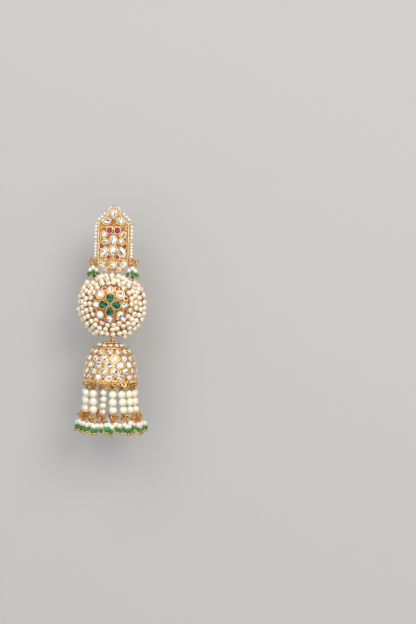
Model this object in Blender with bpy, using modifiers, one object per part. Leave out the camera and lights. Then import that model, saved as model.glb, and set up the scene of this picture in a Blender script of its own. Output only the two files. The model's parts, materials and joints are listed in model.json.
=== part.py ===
"""Drop earring: a stone-set plate, a pearl medallion and a pearl-fringed bell.

Lengths are in metres and +Z is up. The front looks along -Y.
The origin is on the back of the top plate, where the ear post leaves it.
The medallion, the ring and the bell each turn about a pivot on the hanging line.
"""

import math

import bmesh
import bpy
from mathutils import Matrix, Vector

# Running gap between separate pieces
GAP = 0.0003

# Top plate: a house outline, with the post behind it
PLATE_WIDTH = 0.0136
PLATE_SIDE = 0.0158
GABLE_HEIGHT = 0.0069
PLATE_THICKNESS = 0.0018
SHOULDER_ABOVE_POST = 0.0054
FRAME_INSET = 0.00015
FRAME_WIDTH = 0.00055
FRAME_RISE = 0.0004

# Pierced band under the plate
BAND_CHEEK = 0.0016
BAND_HEIGHT = 0.0050
BAND_FOOT_WIDTH = 0.0078

# Set stones of the plate and of the flower
STONE_UNIT = 0.0040
STONE_RISE = 0.0007
STONE_SINK = 0.0003
TABLE_SHARE = 0.55

# Prongs and the strings of seed pearls round the plate
PRONG_LENGTH = 0.0022
PRONG_FOOT_RADIUS = 0.00035
PRONG_TIP_RADIUS = 0.00022
SEED_PEARL = 0.00145

# Ear post and its pad
POST_LENGTH = 0.0110
POST_DIAMETER = 0.0010
PAD_DIAMETER = 0.0050
PAD_THICKNESS = 0.0008

# Wires and links
BAIL_WIRE = 0.0005
BAIL_WIDTH = 0.0042
BAIL_DROP = 0.0013
JUMP_RING_DIAMETER = 0.0024
JUMP_RING_WIRE = 0.00045
JUMP_RING_SPACING = 0.0020
EYE_DIAMETER = 0.0017
EYE_WIRE = 0.0005
CONNECTOR_DIAMETER = 0.0023
LINK_SIDES = 10
WIRE_SIDES = 5

# Small drops at the ends of the band
SIDE_EYE_DIAMETER = 0.0028
SIDE_EYE_WIRE = 0.0007
SIDE_EYE_BELOW_PLATE = 0.0012
SIDE_EYE_DEPTH = 0.0005
SIDE_RING_DIAMETER = 0.0026
SIDE_RING_WIRE = 0.00056
SIDE_DROP_LENGTH = 0.0052
SIDE_DROP_PEARL = 0.0021
SIDE_DROP_FAN_DEG = 19.0

# Medallion: a core behind the pearls and the flower
CORE_RADIUS = 0.0142
CORE_TOP_ABOVE_BAIL = 0.0009
CORE_BACK_DEPTH = 0.0055
CORE_SETBACK = 0.00065
CORE_STEPS = 20
TOP_CUT_ABOVE_CENTRE = 0.0084
FOOT_CUT_WIDTH = 0.0044
FOOT_CUT_DEPTH = 0.0020
CLUSTER_PEARL = 0.0023
PEARL_SIDES = 10
FLOWER_RADIUS = 0.0079
FLOWER_THICKNESS = 0.0012
FLOWER_STEPS = 16

# Bell
BELL_RADIUS = 0.0112
BELL_HEIGHT = 0.0160
BELL_FULLNESS = 2.35
BELL_WALL = 0.0009
BELL_RIM_HEIGHT = 0.0012
BELL_STEPS = 20
RIM_LOOP_DIAMETER = 0.0017
RIM_LOOP_WIRE = 0.00056

# Pearl strands
STRAND_RING_DIAMETER = 0.0022
STRAND_RING_WIRE = 0.00056
STRAND_PEARL = 0.0034
THIN_STRAND_PEARL = 0.0027
PEARLS_PER_STRAND = 3
PEARL_NECK_RADIUS = 0.00042
BUNDLE_LENGTH = 0.0102
BUNDLE_RADIUS = 0.0021
THIN_BUNDLE_RADIUS = 0.0016
STRAND_SEAT_IN = 0.0006

# Stones of the plate: shape, side of the middle (0 middle, 1 both sides),
# x in half plate widths, z below the apex in plate heights with the gable,
# length and width in stone units, turn in degrees from +X towards +Z
PLATE_STONES = (
    ("pear", 0, 0.00, 0.125, 0.97, 0.72, -90.0),
    ("leaf", 1, 0.44, 0.275, 0.95, 0.56, 168.0),
    ("round", 1, 0.26, 0.445, 0.57, 0.55, 0.0),
    ("pear", 1, 0.60, 0.510, 0.66, 0.56, 78.0),
    ("pear", 0, 0.00, 0.605, 1.24, 0.78, 90.0),
    ("round", 1, 0.46, 0.650, 0.50, 0.50, 0.0),
    ("triangle", 1, 0.77, 0.730, 0.45, 0.42, 180.0),
    ("pear", 0, 0.00, 0.845, 1.00, 0.82, -90.0),
    ("leaf", 1, 0.58, 0.850, 1.00, 0.58, 108.0),
    ("triangle", 1, 0.28, 0.935, 0.52, 0.46, 90.0),
)

# Stones of the band: same columns, but z below the plate in band heights
BAND_STONES = (
    ("round", 0, 0.00, 0.47, 0.60, 0.60, 0.0),
    ("leaf", 1, 0.70, 0.42, 0.85, 0.48, 52.0),
    ("round", 1, 0.43, 0.80, 0.46, 0.46, 0.0),
)

# Pearl rings of the medallion: radius and depth in front of the core's
# middle in core radii, count, first angle in steps, tilt from the front in degrees,
# and the stretches left open at the top and at the foot, in degrees each way
PEARL_RINGS = (
    (0.658, 0.331, 18, 0.5, 0.0, 0.0, 0.0),
    (0.795, 0.260, 20, 0.0, 34.0, 0.0, 0.0),
    (0.915, 0.170, 23, 0.5, 36.0, 18.0, 14.0),
    (0.984, 0.003, 25, 0.0, 90.0, 50.0, 18.0),
    (0.930, 0.256, 26, 0.0, 30.0, 0.0, 165.0),
)

# Strands of the bell: angle from the front, outward flare and side lean in degrees, thin or not
STRANDS = (
    (13.6, 6.0, 3.5, False),
    (33.7, 6.0, 9.0, False),
    (55.0, 8.0, 9.0, False),
    (77.7, 12.0, 7.0, False),
    (103.0, 9.0, 5.0, False),
    (129.0, 7.0, 2.0, False),
    (156.0, 6.0, 0.0, False),
    (183.0, 6.0, 0.0, False),
    (210.0, 6.0, 0.0, False),
    (236.0, 6.0, 0.0, False),
    (266.0, 6.0, 0.0, False),
    (297.7, 5.5, 0.0, False),
    (327.0, 6.0, 1.5, False),
    (355.0, 6.0, -3.0, True),
)

# Heights worked out from the sizes above, from the top down
SHOULDER_Z = SHOULDER_ABOVE_POST
APEX_Z = SHOULDER_Z + GABLE_HEIGHT
PLATE_FOOT_Z = SHOULDER_Z - PLATE_SIDE
BAND_FOOT_Z = PLATE_FOOT_Z - BAND_HEIGHT
PLATE_MIDDLE_Y = -PLATE_THICKNESS / 2
BAIL_SEAT = BAIL_WIRE / 2 + JUMP_RING_WIRE / 2 + GAP
TOP_BAIL_Z = BAND_FOOT_Z - BAIL_DROP
JUMP_RING_Z = TOP_BAIL_Z + BAIL_SEAT - JUMP_RING_DIAMETER / 2
LOWER_BAIL_Z = JUMP_RING_Z - JUMP_RING_DIAMETER / 2 + BAIL_SEAT
HANG_Y = -(PLATE_THICKNESS - BAIL_WIRE / 2 - GAP / 3)
MEDALLION_Z = TOP_BAIL_Z + CORE_TOP_ABOVE_BAIL - CORE_RADIUS
FOOT_CUT_Z = MEDALLION_Z - CORE_RADIUS + FOOT_CUT_DEPTH
MEDALLION_Y = HANG_Y + CORE_SETBACK
EYE_SEAT = EYE_WIRE + GAP
EYE_Z = FOOT_CUT_Z - EYE_DIAMETER / 2
CONNECTOR_TOP_Z = EYE_Z - EYE_DIAMETER / 2 + EYE_SEAT
CONNECTOR_Z = CONNECTOR_TOP_Z - CONNECTOR_DIAMETER / 2
CONNECTOR_FOOT_Z = CONNECTOR_Z - CONNECTOR_DIAMETER / 2
BELL_EYE_Z = CONNECTOR_FOOT_Z + EYE_SEAT - EYE_DIAMETER / 2
BELL_TOP_Z = CONNECTOR_FOOT_Z - EYE_WIRE / 2 - GAP
BELL_RIM_Z = BELL_TOP_Z - BELL_HEIGHT
BELL_FOOT_Z = BELL_RIM_Z - BELL_RIM_HEIGHT
RIM_LOOP_Z = BELL_FOOT_Z - RIM_LOOP_DIAMETER / 2 + EYE_WIRE / 2
STRAND_CIRCLE = BELL_RADIUS - STRAND_SEAT_IN

GOLD = ((0.83, 0.58, 0.25), 0.25, 1.0)
PEARL = ((0.90, 0.86, 0.78), 0.30, 0.0)
PETAL = ((0.85, 0.83, 0.80), 0.15, 0.0)


def remove_everything():
    """Empty the file, keeping the scene itself."""
    for existing in list(bpy.data.objects):
        bpy.data.objects.remove(existing)


def new_collection(name):
    collection = bpy.data.collections.new(name)
    bpy.context.scene.collection.children.link(collection)
    return collection


def make_material(name, look):
    """A Principled material with a colour, a roughness and a metallic value."""
    colour, roughness, metallic = look
    material = bpy.data.materials.new(name)
    material.use_nodes = True
    shader = material.node_tree.nodes["Principled BSDF"]
    shader.inputs["Base Color"].default_value = (*colour, 1.0)
    shader.inputs["Roughness"].default_value = roughness
    shader.inputs["Metallic"].default_value = metallic
    return material


def add_part(name, mesh, look, pivot=None, location=(0.0, 0.0, 0.0), turn=(0.0, 0.0, 0.0)):
    """One sub-part with its own material, placed by its location, rotation and pivot."""
    mesh.materials.clear()
    mesh.materials.append(make_material(name, look))
    part = bpy.data.objects.new(name, mesh)
    parts.objects.link(part)
    place(part, pivot, location, turn)
    return part


def place(item, pivot, location, turn):
    item.location = Vector(location)
    item.rotation_euler = turn
    if pivot is not None:
        item.parent = pivot
        item.location = Vector(location) - pivot.location


def add_shape(name, mesh, location=(0.0, 0.0, 0.0), turn=(0.0, 0.0, 0.0), pivot=None):
    """A helper shape that is joined to a part or cut from it, and never seen."""
    shape = bpy.data.objects.new(name, mesh)
    shapes.objects.link(shape)
    shape.hide_render = True
    shape.display_type = "WIRE"
    place(shape, pivot, location, turn)
    return shape


def add_pivot(name, location):
    pivot = bpy.data.objects.new(name, None)
    parts.objects.link(pivot)
    pivot.empty_display_size = BAIL_WIDTH
    pivot.location = Vector(location)
    return pivot


def combine(part, shape, operation):
    step = part.modifiers.new(shape.name, "BOOLEAN")
    step.operation = operation
    step.solver = "EXACT"
    step.object = shape
    return step


def evaluated_mesh(source):
    """The mesh that an object shows with its modifiers, as new data."""
    bpy.context.view_layer.update()
    graph = bpy.context.evaluated_depsgraph_get()
    return bpy.data.meshes.new_from_object(source.evaluated_get(graph))


def mesh_from_bmesh(name, working):
    mesh = bpy.data.meshes.new(name)
    working.to_mesh(mesh)
    working.free()
    return mesh


def smooth(mesh, sharp_deg=50.0):
    mesh.shade_smooth()
    mesh.set_sharp_from_angle(angle=math.radians(sharp_deg))
    return mesh


def joined_mesh(name, pieces):
    """Copies of meshes, each moved by its own matrix, in one mesh."""
    working = bmesh.new()
    for mesh, matrix in pieces:
        copy = mesh.copy()
        copy.transform(matrix)
        working.from_mesh(copy)
        bpy.data.meshes.remove(copy)
    return mesh_from_bmesh(name, working)


def flat_mesh(name, outlines, thickness):
    """A flat outline with holes, extruded: it stands upright and faces -Y.

    The outlines are lists of (x, z); the back lies at y = 0.
    """
    curve = bpy.data.curves.new(name, "CURVE")
    curve.dimensions = "2D"
    curve.fill_mode = "BOTH"
    curve.extrude = thickness / 2
    for outline in outlines:
        spline = curve.splines.new("POLY")
        spline.points.add(len(outline) - 1)
        for point, (across, up) in zip(spline.points, outline):
            point.co = (across, up, 0.0, 1.0)
        spline.use_cyclic_u = True
    holder = bpy.data.objects.new(name, curve)
    bpy.context.scene.collection.objects.link(holder)
    mesh = evaluated_mesh(holder)
    bpy.data.objects.remove(holder)
    weld(mesh)
    upright = Matrix.Rotation(math.pi / 2, 4, "X")
    mesh.transform(Matrix.Translation((0.0, -thickness / 2, 0.0)) @ upright)
    return mesh


def wire_mesh(name, points, diameter, sides):
    """A round wire along points, with filled ends."""
    curve = bpy.data.curves.new(name, "CURVE")
    curve.dimensions = "3D"
    curve.bevel_depth = diameter / 2
    curve.bevel_resolution = max(0, sides // 2 - 2)
    curve.use_fill_caps = True
    spline = curve.splines.new("POLY")
    spline.points.add(len(points) - 1)
    for point, place_of_point in zip(spline.points, points):
        point.co = (*place_of_point, 1.0)
    holder = bpy.data.objects.new(name, curve)
    bpy.context.scene.collection.objects.link(holder)
    mesh = evaluated_mesh(holder)
    bpy.data.objects.remove(holder)
    weld(mesh)
    return mesh


def weld(mesh, distance=0.000002):
    working = bmesh.new()
    working.from_mesh(mesh)
    bmesh.ops.remove_doubles(working, verts=working.verts, dist=distance)
    bmesh.ops.recalc_face_normals(working, faces=working.faces)
    working.to_mesh(mesh)
    working.free()


def turned_mesh(name, profile, steps):
    """A profile of (radius, height), turned about Z. It runs from the top down."""
    base = bpy.data.meshes.new(name + "_profile")
    points = [(radius, 0.0, height) for radius, height in profile]
    edges = [(index, index + 1) for index in range(len(points) - 1)]
    base.from_pydata(points, edges, [])
    holder = bpy.data.objects.new(name, base)
    bpy.context.scene.collection.objects.link(holder)
    screw = holder.modifiers.new("turn", "SCREW")
    screw.steps = steps
    screw.render_steps = steps
    screw.use_merge_vertices = True
    screw.merge_threshold = 0.000002
    mesh = evaluated_mesh(holder)
    bpy.data.objects.remove(holder)
    return smooth(mesh)


def ring_mesh(name, diameter, wire):
    """A plain link lying flat about Z, measured at the middle of its wire."""
    bpy.ops.mesh.primitive_torus_add(
        major_segments=LINK_SIDES,
        minor_segments=WIRE_SIDES,
        major_radius=diameter / 2,
        minor_radius=wire / 2,
    )
    holder = bpy.context.object
    mesh = holder.data
    mesh.name = name
    bpy.data.objects.remove(holder)
    return smooth(mesh, 80.0)


def ring_facing(axis):
    """Turn of a link whose hole looks along X or Y."""
    if axis == "X":
        return Matrix.Rotation(math.pi / 2, 4, "Y")
    return Matrix.Rotation(math.pi / 2, 4, "X")


def stone_outline(shape, angle):
    """Outline of a cut stone in half lengths and half widths, its point at +x.

    A pear narrows with the sine of the half angle, a leaf with the sine
    of the angle, and a triangle adds a second turn the other way.
    """
    across = math.sin(angle)
    along = math.cos(angle)
    if shape == "pear":
        across *= math.sin(abs(angle) / 2) / 0.77
    if shape == "leaf":
        across *= abs(math.sin(angle)) ** 0.3
    if shape == "triangle":
        along = (along + 0.25 * math.cos(2 * angle)) / 1.25
        across = (across - 0.25 * math.sin(2 * angle)) / 1.05
    return along, across


def add_stone(working, shape, length, width, matrix):
    """A cut stone: sloping facets up to a flat table, its foot sunk in the setting."""
    sides = 9 if shape == "triangle" else 8
    cone = bmesh.ops.create_cone(
        working,
        cap_ends=True,
        segments=sides,
        radius1=1.0,
        radius2=TABLE_SHARE,
        depth=STONE_RISE + STONE_SINK,
    )
    for vert in cone["verts"]:
        share = 1.0 if vert.co.z < 0 else TABLE_SHARE
        height = vert.co.z + (STONE_RISE - STONE_SINK) / 2
        turn = math.atan2(vert.co.x, vert.co.y)
        along, across = stone_outline(shape, turn)
        vert.co = matrix @ Vector((along * share * length / 2, across * share * width / 2, height))


def stone_field(name, rows, half_width, top_z, height):
    """The stones of one table on an upright face whose front is the plate's."""
    working = bmesh.new()
    for shape, paired, across, below, length, width, turn in rows:
        for side in (1, -1) if paired else (1,):
            angle = turn if side > 0 else 180.0 - turn
            spot = Vector((side * across * half_width, -PLATE_THICKNESS, top_z - below * height))
            matrix = Matrix.Translation(spot)
            matrix = matrix @ Matrix.Rotation(-math.radians(angle), 4, "Y")
            matrix = matrix @ Matrix.Rotation(math.pi / 2, 4, "X")
            add_stone(working, shape, length * STONE_UNIT, width * STONE_UNIT, matrix)
    bmesh.ops.recalc_face_normals(working, faces=working.faces)
    return mesh_from_bmesh(name, working)


def house_outline(inset=0.0):
    """The plate's outline, drawn in by an even inset."""
    half = PLATE_WIDTH / 2 - inset
    slope = math.atan2(GABLE_HEIGHT, PLATE_WIDTH / 2)
    apex = APEX_Z - inset / math.cos(slope)
    shoulder = apex - half * math.tan(slope)
    foot = PLATE_FOOT_Z + inset
    return [(0.0, apex), (-half, shoulder), (-half, foot), (half, foot), (half, shoulder)]


def plate_outline():
    """The house with the band's cheeks and tapering foot under it."""
    half = PLATE_WIDTH / 2
    foot_half = BAND_FOOT_WIDTH / 2
    cheek = PLATE_FOOT_Z - BAND_CHEEK
    return [
        (0.0, APEX_Z),
        (-half, SHOULDER_Z),
        (-half, cheek),
        (-foot_half, BAND_FOOT_Z),
        (foot_half, BAND_FOOT_Z),
        (half, cheek),
        (half, SHOULDER_Z),
    ]


def band_window(side):
    """A three-cornered window between the middle stone and a leaf of the band."""
    inner = 0.22 * PLATE_WIDTH / 2
    outer = 0.50 * PLATE_WIDTH / 2
    top = PLATE_FOOT_Z - 0.10 * BAND_HEIGHT
    low = PLATE_FOOT_Z - 0.46 * BAND_HEIGHT
    middle = 0.29 * PLATE_WIDTH / 2
    return [(side * inner, top), (side * outer, top), (side * middle, low)]


def edge_stations():
    """Places of the prongs on the right-hand edge, with their outward directions."""
    half = PLATE_WIDTH / 2
    slope = Vector((-half, GABLE_HEIGHT)).normalized()
    outward = Vector((slope.y, -slope.x))
    shoulder = Vector((half, SHOULDER_Z))
    gable_length = math.hypot(half, GABLE_HEIGHT)
    side_middle = Vector((half, SHOULDER_Z - 0.48 * PLATE_SIDE))
    return [
        (side_middle, Vector((1.0, 0.0))),
        (shoulder, Vector((1.0, 0.0))),
        (shoulder + slope * gable_length * 0.64, outward),
    ]


def prong_matrix(spot, outward):
    """Stands a prong on the edge at a spot of (x, z), its root inside the plate."""
    middle = spot + outward * (PRONG_LENGTH / 2 - PRONG_FOOT_RADIUS)
    direction = Vector((outward.x, 0.0, outward.y))
    turn = direction.to_track_quat("Z", "Y").to_matrix().to_4x4()
    twist = Matrix.Rotation(math.radians(20.0), 4, "Z")
    return Matrix.Translation((middle.x, PLATE_MIDDLE_Y, middle.y)) @ turn @ twist


def prong_field():
    """Seven tapered prongs: one on the apex and three on each side."""
    working = bmesh.new()
    matrices = [prong_matrix(Vector((0.0, APEX_Z - 0.8 * PRONG_FOOT_RADIUS)), Vector((0.0, 1.0)))]
    for spot, outward in edge_stations():
        for side in (1.0, -1.0):
            mirrored = Vector((side * spot.x, spot.y))
            matrices.append(prong_matrix(mirrored, Vector((side * outward.x, outward.y))))
    for matrix in matrices:
        bmesh.ops.create_cone(
            working,
            cap_ends=True,
            segments=6,
            radius1=PRONG_FOOT_RADIUS,
            radius2=PRONG_TIP_RADIUS,
            depth=PRONG_LENGTH,
            matrix=matrix,
        )
    return mesh_from_bmesh("prongs", working)


def bail_points(half_width, from_z, to_z, y):
    return [
        (-half_width, y, from_z),
        (-half_width, y, to_z),
        (half_width, y, to_z),
        (half_width, y, from_z),
    ]


def side_eye_place(side):
    across = PLATE_WIDTH / 2 + SIDE_EYE_DIAMETER / 2 + GAP / 2
    return Vector((side * across, -SIDE_EYE_DEPTH, PLATE_FOOT_Z - SIDE_EYE_BELOW_PLATE))


def make_top_plate():
    """The plate with its frame, stones, prongs, end eyes and lower bail, as one solid."""
    body = flat_mesh(
        "plate_body", [plate_outline(), band_window(1), band_window(-1)], PLATE_THICKNESS
    )
    plate = add_part("top_plate", body, GOLD)

    frame_outlines = [house_outline(FRAME_INSET), house_outline(FRAME_INSET + FRAME_WIDTH)]
    frame = flat_mesh("frame", frame_outlines, FRAME_RISE * 2)
    frame.transform(Matrix.Translation((0.0, FRAME_RISE - PLATE_THICKNESS, 0.0)))
    combine(plate, add_shape("plate_frame", frame), "UNION")

    full_height = APEX_Z - PLATE_FOOT_Z
    stones = stone_field("stones", PLATE_STONES, PLATE_WIDTH / 2, APEX_Z, full_height)
    combine(plate, add_shape("plate_stones", stones), "UNION")
    band = stone_field("band_stones", BAND_STONES, PLATE_WIDTH / 2, PLATE_FOOT_Z, BAND_HEIGHT)
    combine(plate, add_shape("band_stones", band), "UNION")
    combine(plate, add_shape("plate_prongs", prong_field()), "UNION")

    eye = ring_mesh("side_eye", SIDE_EYE_DIAMETER, SIDE_EYE_WIRE)
    eyes = []
    for side in (1, -1):
        eyes.append((eye, Matrix.Translation(side_eye_place(side)) @ ring_facing("Y")))
    combine(plate, add_shape("side_eyes", joined_mesh("side_eyes", eyes)), "UNION")

    root = BAND_FOOT_Z + BAIL_WIRE
    bail = wire_mesh(
        "top_bail", bail_points(BAIL_WIDTH / 2, root, TOP_BAIL_Z, HANG_Y), BAIL_WIRE, 6
    )
    combine(plate, add_shape("plate_bail", bail), "UNION")


def make_ear_post():
    """A straight post on a round pad, behind the plate, along Y."""
    post_radius = POST_DIAMETER / 2
    pad_radius = PAD_DIAMETER / 2
    profile = [
        (0.0, POST_LENGTH),
        (post_radius * 0.6, POST_LENGTH),
        (post_radius, POST_LENGTH - post_radius),
        (post_radius, PAD_THICKNESS),
        (pad_radius, PAD_THICKNESS),
        (pad_radius, 0.0),
        (0.0, 0.0),
    ]
    mesh = turned_mesh("ear_post", profile, 12)
    add_part("ear_post", mesh, GOLD, location=(0.0, GAP, 0.0), turn=(-math.pi / 2, 0.0, 0.0))


def edging_runs():
    """Straight runs of seed pearls on the right-hand side, as pairs of (x, z) ends."""
    offset = SEED_PEARL / 2 + GAP
    clear = PRONG_FOOT_RADIUS + GAP
    stations = edge_stations()
    side_middle, shoulder, gable_middle = (spot for spot, outward in stations)
    slope_out = stations[2][1]
    slope = Vector((-slope_out.y, slope_out.x))
    side_shift = Vector((offset, 0.0))
    gable_shift = slope_out * offset
    apex = Vector((0.0, APEX_Z))
    eye_top = side_eye_place(1).z + SIDE_EYE_DIAMETER / 2 + SIDE_EYE_WIRE / 2
    foot = Vector((PLATE_WIDTH / 2, eye_top + GAP))
    up = Vector((0.0, 1.0))
    return [
        (foot + side_shift, side_middle - up * clear + side_shift),
        (side_middle + up * clear + side_shift, shoulder - up * clear + side_shift),
        (shoulder + slope * clear + gable_shift, gable_middle - slope * clear + gable_shift),
        (gable_middle + slope * clear + gable_shift, apex - slope * clear + gable_shift),
    ]


def make_edging():
    """Eight tubes for the seed pearl strings, each between two prongs."""
    number = 0
    for side in (1, -1):
        for start, end in edging_runs():
            number += 1
            points = [
                (side * start.x, PLATE_MIDDLE_Y, start.y),
                (side * end.x, PLATE_MIDDLE_Y, end.y),
            ]
            name = f"edging_string_{number}"
            add_part(name, smooth(wire_mesh(name, points, SEED_PEARL, 8)), PEARL)


def small_drop_mesh():
    """A small drop below its wire: a pearl, a green bead and a gold tip in outline."""
    pearl = SIDE_DROP_PEARL / 2
    profile = [
        (0.0, 0.0),
        (pearl * 0.3, 0.0),
        (pearl, -0.25 * SIDE_DROP_LENGTH),
        (pearl * 0.85, -0.68 * SIDE_DROP_LENGTH),
        (pearl * 0.3, -SIDE_DROP_LENGTH),
        (0.0, -SIDE_DROP_LENGTH),
    ]
    return turned_mesh("small_drop", profile, PEARL_SIDES)


def make_side_drop(name, side):
    """A ring through the plate's end eye, with two small drops fanned under it."""
    eye = side_eye_place(side)
    seat = SIDE_EYE_WIRE / 2 + SIDE_RING_WIRE / 2 + GAP
    top = eye.z - SIDE_EYE_DIAMETER / 2 + seat
    ring_z = top - SIDE_RING_DIAMETER / 2
    foot_z = ring_z - SIDE_RING_DIAMETER / 2
    ring = ring_mesh("side_ring", SIDE_RING_DIAMETER, SIDE_RING_WIRE)
    ring.transform(Matrix.Translation((eye.x, eye.y, ring_z)) @ ring_facing("X"))
    part = add_part(name, ring, GOLD)
    drop = small_drop_mesh()
    for number, fan in enumerate((-1, 1)):
        turn = Matrix.Rotation(math.radians(-fan * SIDE_DROP_FAN_DEG), 4, "Y")
        spread = fan * SIDE_RING_WIRE / 2
        spot = Matrix.Translation((eye.x + spread, eye.y, foot_z))
        shape = joined_mesh("drop", [(drop, spot @ turn)])
        combine(part, add_shape(f"{name}_{number}", shape), "UNION")


def make_jump_rings(pivot):
    """Two rings side by side, through the plate's bail and the medallion's."""
    for name, side in (("jump_ring_left", -1), ("jump_ring_right", 1)):
        ring = ring_mesh(name, JUMP_RING_DIAMETER, JUMP_RING_WIRE)
        ring.transform(ring_facing("X"))
        spot = (side * JUMP_RING_SPACING / 2, HANG_Y, JUMP_RING_Z)
        add_part(name, ring, GOLD, pivot, spot)


def core_profile():
    """Half section of the medallion's core as (radius, height to the front).

    The front slopes away under the pearl rings, and a drum stands behind.
    """
    radius = CORE_RADIUS
    return [
        (0.0, 0.345 * radius),
        (0.700 * radius, 0.345 * radius),
        (0.960 * radius, 0.155 * radius),
        (radius, 0.095 * radius),
        (radius, -0.090 * radius),
        (0.620 * radius, -0.120 * radius),
        (0.600 * radius, -CORE_BACK_DEPTH),
        (0.0, -CORE_BACK_DEPTH),
    ]


def ring_angles(count, first):
    """Angles of one pearl ring, clockwise from the top as seen from the front."""
    return [(index + first) * 2 * math.pi / count for index in range(count)]


def has_room(angle, open_top, open_foot):
    """Whether a pearl lies outside the stretches that its ring leaves open."""
    from_top = abs(math.degrees(math.atan2(math.sin(angle), math.cos(angle))))
    return open_top <= from_top <= 180.0 - open_foot


def pearl_mesh(pointed):
    """A round pearl about Z, with its pin's tip drawn out if it is pointed."""
    working = bmesh.new()
    bmesh.ops.create_uvsphere(
        working, u_segments=PEARL_SIDES, v_segments=4, radius=CLUSTER_PEARL / 2
    )
    if pointed:
        top = max(working.verts, key=lambda vert: vert.co.z)
        top.co.z *= 1.4
    return mesh_from_bmesh("cluster_pearl", working)


def pearl_field(rows):
    """Rings of pearls about the medallion's own middle, with +Z to the front."""
    pieces = []
    for radius_share, depth_share, count, first, tilt, open_top, open_foot in rows:
        pearl = pearl_mesh(radius_share > 0.95)
        for angle in ring_angles(count, first):
            if not has_room(angle, open_top, open_foot):
                continue
            spot = Vector((0.0, radius_share * CORE_RADIUS, depth_share * CORE_RADIUS))
            around = Matrix.Rotation(-angle, 4, "Z")
            lean = Matrix.Rotation(-math.radians(tilt), 4, "X")
            pieces.append((pearl, around @ Matrix.Translation(spot) @ lean))
    return joined_mesh("pearls", pieces)


def box_mesh(name, low, high):
    working = bmesh.new()
    size = Vector(high) - Vector(low)
    middle = (Vector(high) + Vector(low)) / 2
    stretch = Matrix.Diagonal((size.x, size.y, size.z, 1.0))
    bmesh.ops.create_cube(working, size=1.0, matrix=Matrix.Translation(middle) @ stretch)
    return mesh_from_bmesh(name, working)


def make_pearl_cluster(pivot):
    """The medallion's core, its bail and eye, and the field of pearls set on it."""
    facing = (math.pi / 2, 0.0, 0.0)
    spot = (0.0, MEDALLION_Y, MEDALLION_Z)
    core = turned_mesh("pearl_cluster", core_profile(), CORE_STEPS)
    cluster = add_part("pearl_cluster", core, PEARL, pivot, spot, facing)

    wide = CORE_RADIUS * 1.2
    front_y = HANG_Y - JUMP_RING_DIAMETER / 2 - JUMP_RING_WIRE / 2 - GAP
    cut_floor = MEDALLION_Z + TOP_CUT_ABOVE_CENTRE
    top_low = (-wide, front_y, cut_floor)
    top_high = (wide, wide, MEDALLION_Z + wide)
    combine(cluster, add_shape("top_cut", box_mesh("top_cut", top_low, top_high)), "DIFFERENCE")
    half = FOOT_CUT_WIDTH / 2
    foot_low = (-half, -wide, MEDALLION_Z - wide)
    foot_high = (half, wide, FOOT_CUT_Z)
    combine(cluster, add_shape("foot_cut", box_mesh("foot_cut", foot_low, foot_high)), "DIFFERENCE")

    for name, rows in (("odd_rings", PEARL_RINGS[0::2]), ("even_rings", PEARL_RINGS[1::2])):
        combine(cluster, add_shape(name, pearl_field(rows), spot, facing), "UNION")

    root = cut_floor - BAIL_WIRE
    bail = wire_mesh(
        "lower_bail", bail_points(BAIL_WIDTH / 2, root, LOWER_BAIL_Z, HANG_Y), BAIL_WIRE, 6
    )
    combine(cluster, add_shape("medallion_bail", bail), "UNION")

    eye = ring_mesh("foot_eye", EYE_DIAMETER, EYE_WIRE)
    eye.transform(Matrix.Translation((0.0, HANG_Y, EYE_Z)) @ ring_facing("Y"))
    combine(cluster, add_shape("medallion_eye", eye), "UNION")


def flower_stones(front, slope):
    """Four pear stones round the middle and eight petals round them, point out."""
    working = bmesh.new()
    pear = 0.95 * STONE_UNIT
    petal = 0.80 * STONE_UNIT
    for index in range(4):
        around = Matrix.Rotation(index * math.pi / 2, 4, "Z")
        out = Matrix.Translation((0.34 * FLOWER_RADIUS, 0.0, front))
        inward = Matrix.Rotation(math.pi, 4, "Z")
        add_stone(working, "pear", pear, 0.72 * STONE_UNIT, around @ out @ inward)
    for index in range(8):
        around = Matrix.Rotation(index * math.pi / 4, 4, "Z")
        distance = 0.765 * FLOWER_RADIUS
        height = front - (distance - 0.56 * FLOWER_RADIUS) * math.tan(slope)
        out = Matrix.Translation((distance, 0.0, height)) @ Matrix.Rotation(slope, 4, "Y")
        shape = "pear" if index % 2 == 0 else "round"
        add_stone(working, shape, petal, 0.72 * STONE_UNIT, around @ out)
    bmesh.ops.recalc_face_normals(working, faces=working.faces)
    return mesh_from_bmesh("flower_stones", working)


def make_flower(pivot):
    """The flower's setting: a disc with a sloping skirt, and its stones on it."""
    seat = 0.345 * CORE_RADIUS + GAP * 1.5
    slope = math.radians(14.0)
    front = seat + FLOWER_THICKNESS
    skirt = front - 0.44 * FLOWER_RADIUS * math.tan(slope)
    profile = [
        (0.0, front),
        (0.56 * FLOWER_RADIUS, front),
        (FLOWER_RADIUS, skirt),
        (FLOWER_RADIUS, seat),
        (0.0, seat),
    ]
    facing = (math.pi / 2, 0.0, 0.0)
    spot = (0.0, MEDALLION_Y, MEDALLION_Z)
    mesh = turned_mesh("flower_setting", profile, FLOWER_STEPS)
    flower = add_part("flower_setting", mesh, PETAL, pivot, spot, facing)
    stones = add_shape("petal_stones", flower_stones(front, slope), spot, facing)
    combine(flower, stones, "UNION")


def make_connector_ring(pivot):
    ring = ring_mesh("connector_ring", CONNECTOR_DIAMETER, EYE_WIRE)
    ring.transform(ring_facing("X"))
    add_part("connector_ring", ring, GOLD, pivot, (0.0, HANG_Y, CONNECTOR_Z))


def bell_curve(radius, height, turns_deg):
    """Points of a full bell: a superellipse from near the top down to the rim."""
    power = 2.0 / BELL_FULLNESS
    points = []
    for turn in turns_deg:
        angle = math.radians(turn)
        across = radius * math.sin(angle) ** power
        up = height * max(0.0, math.cos(angle)) ** power
        points.append((across, up))
    return points


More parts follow.
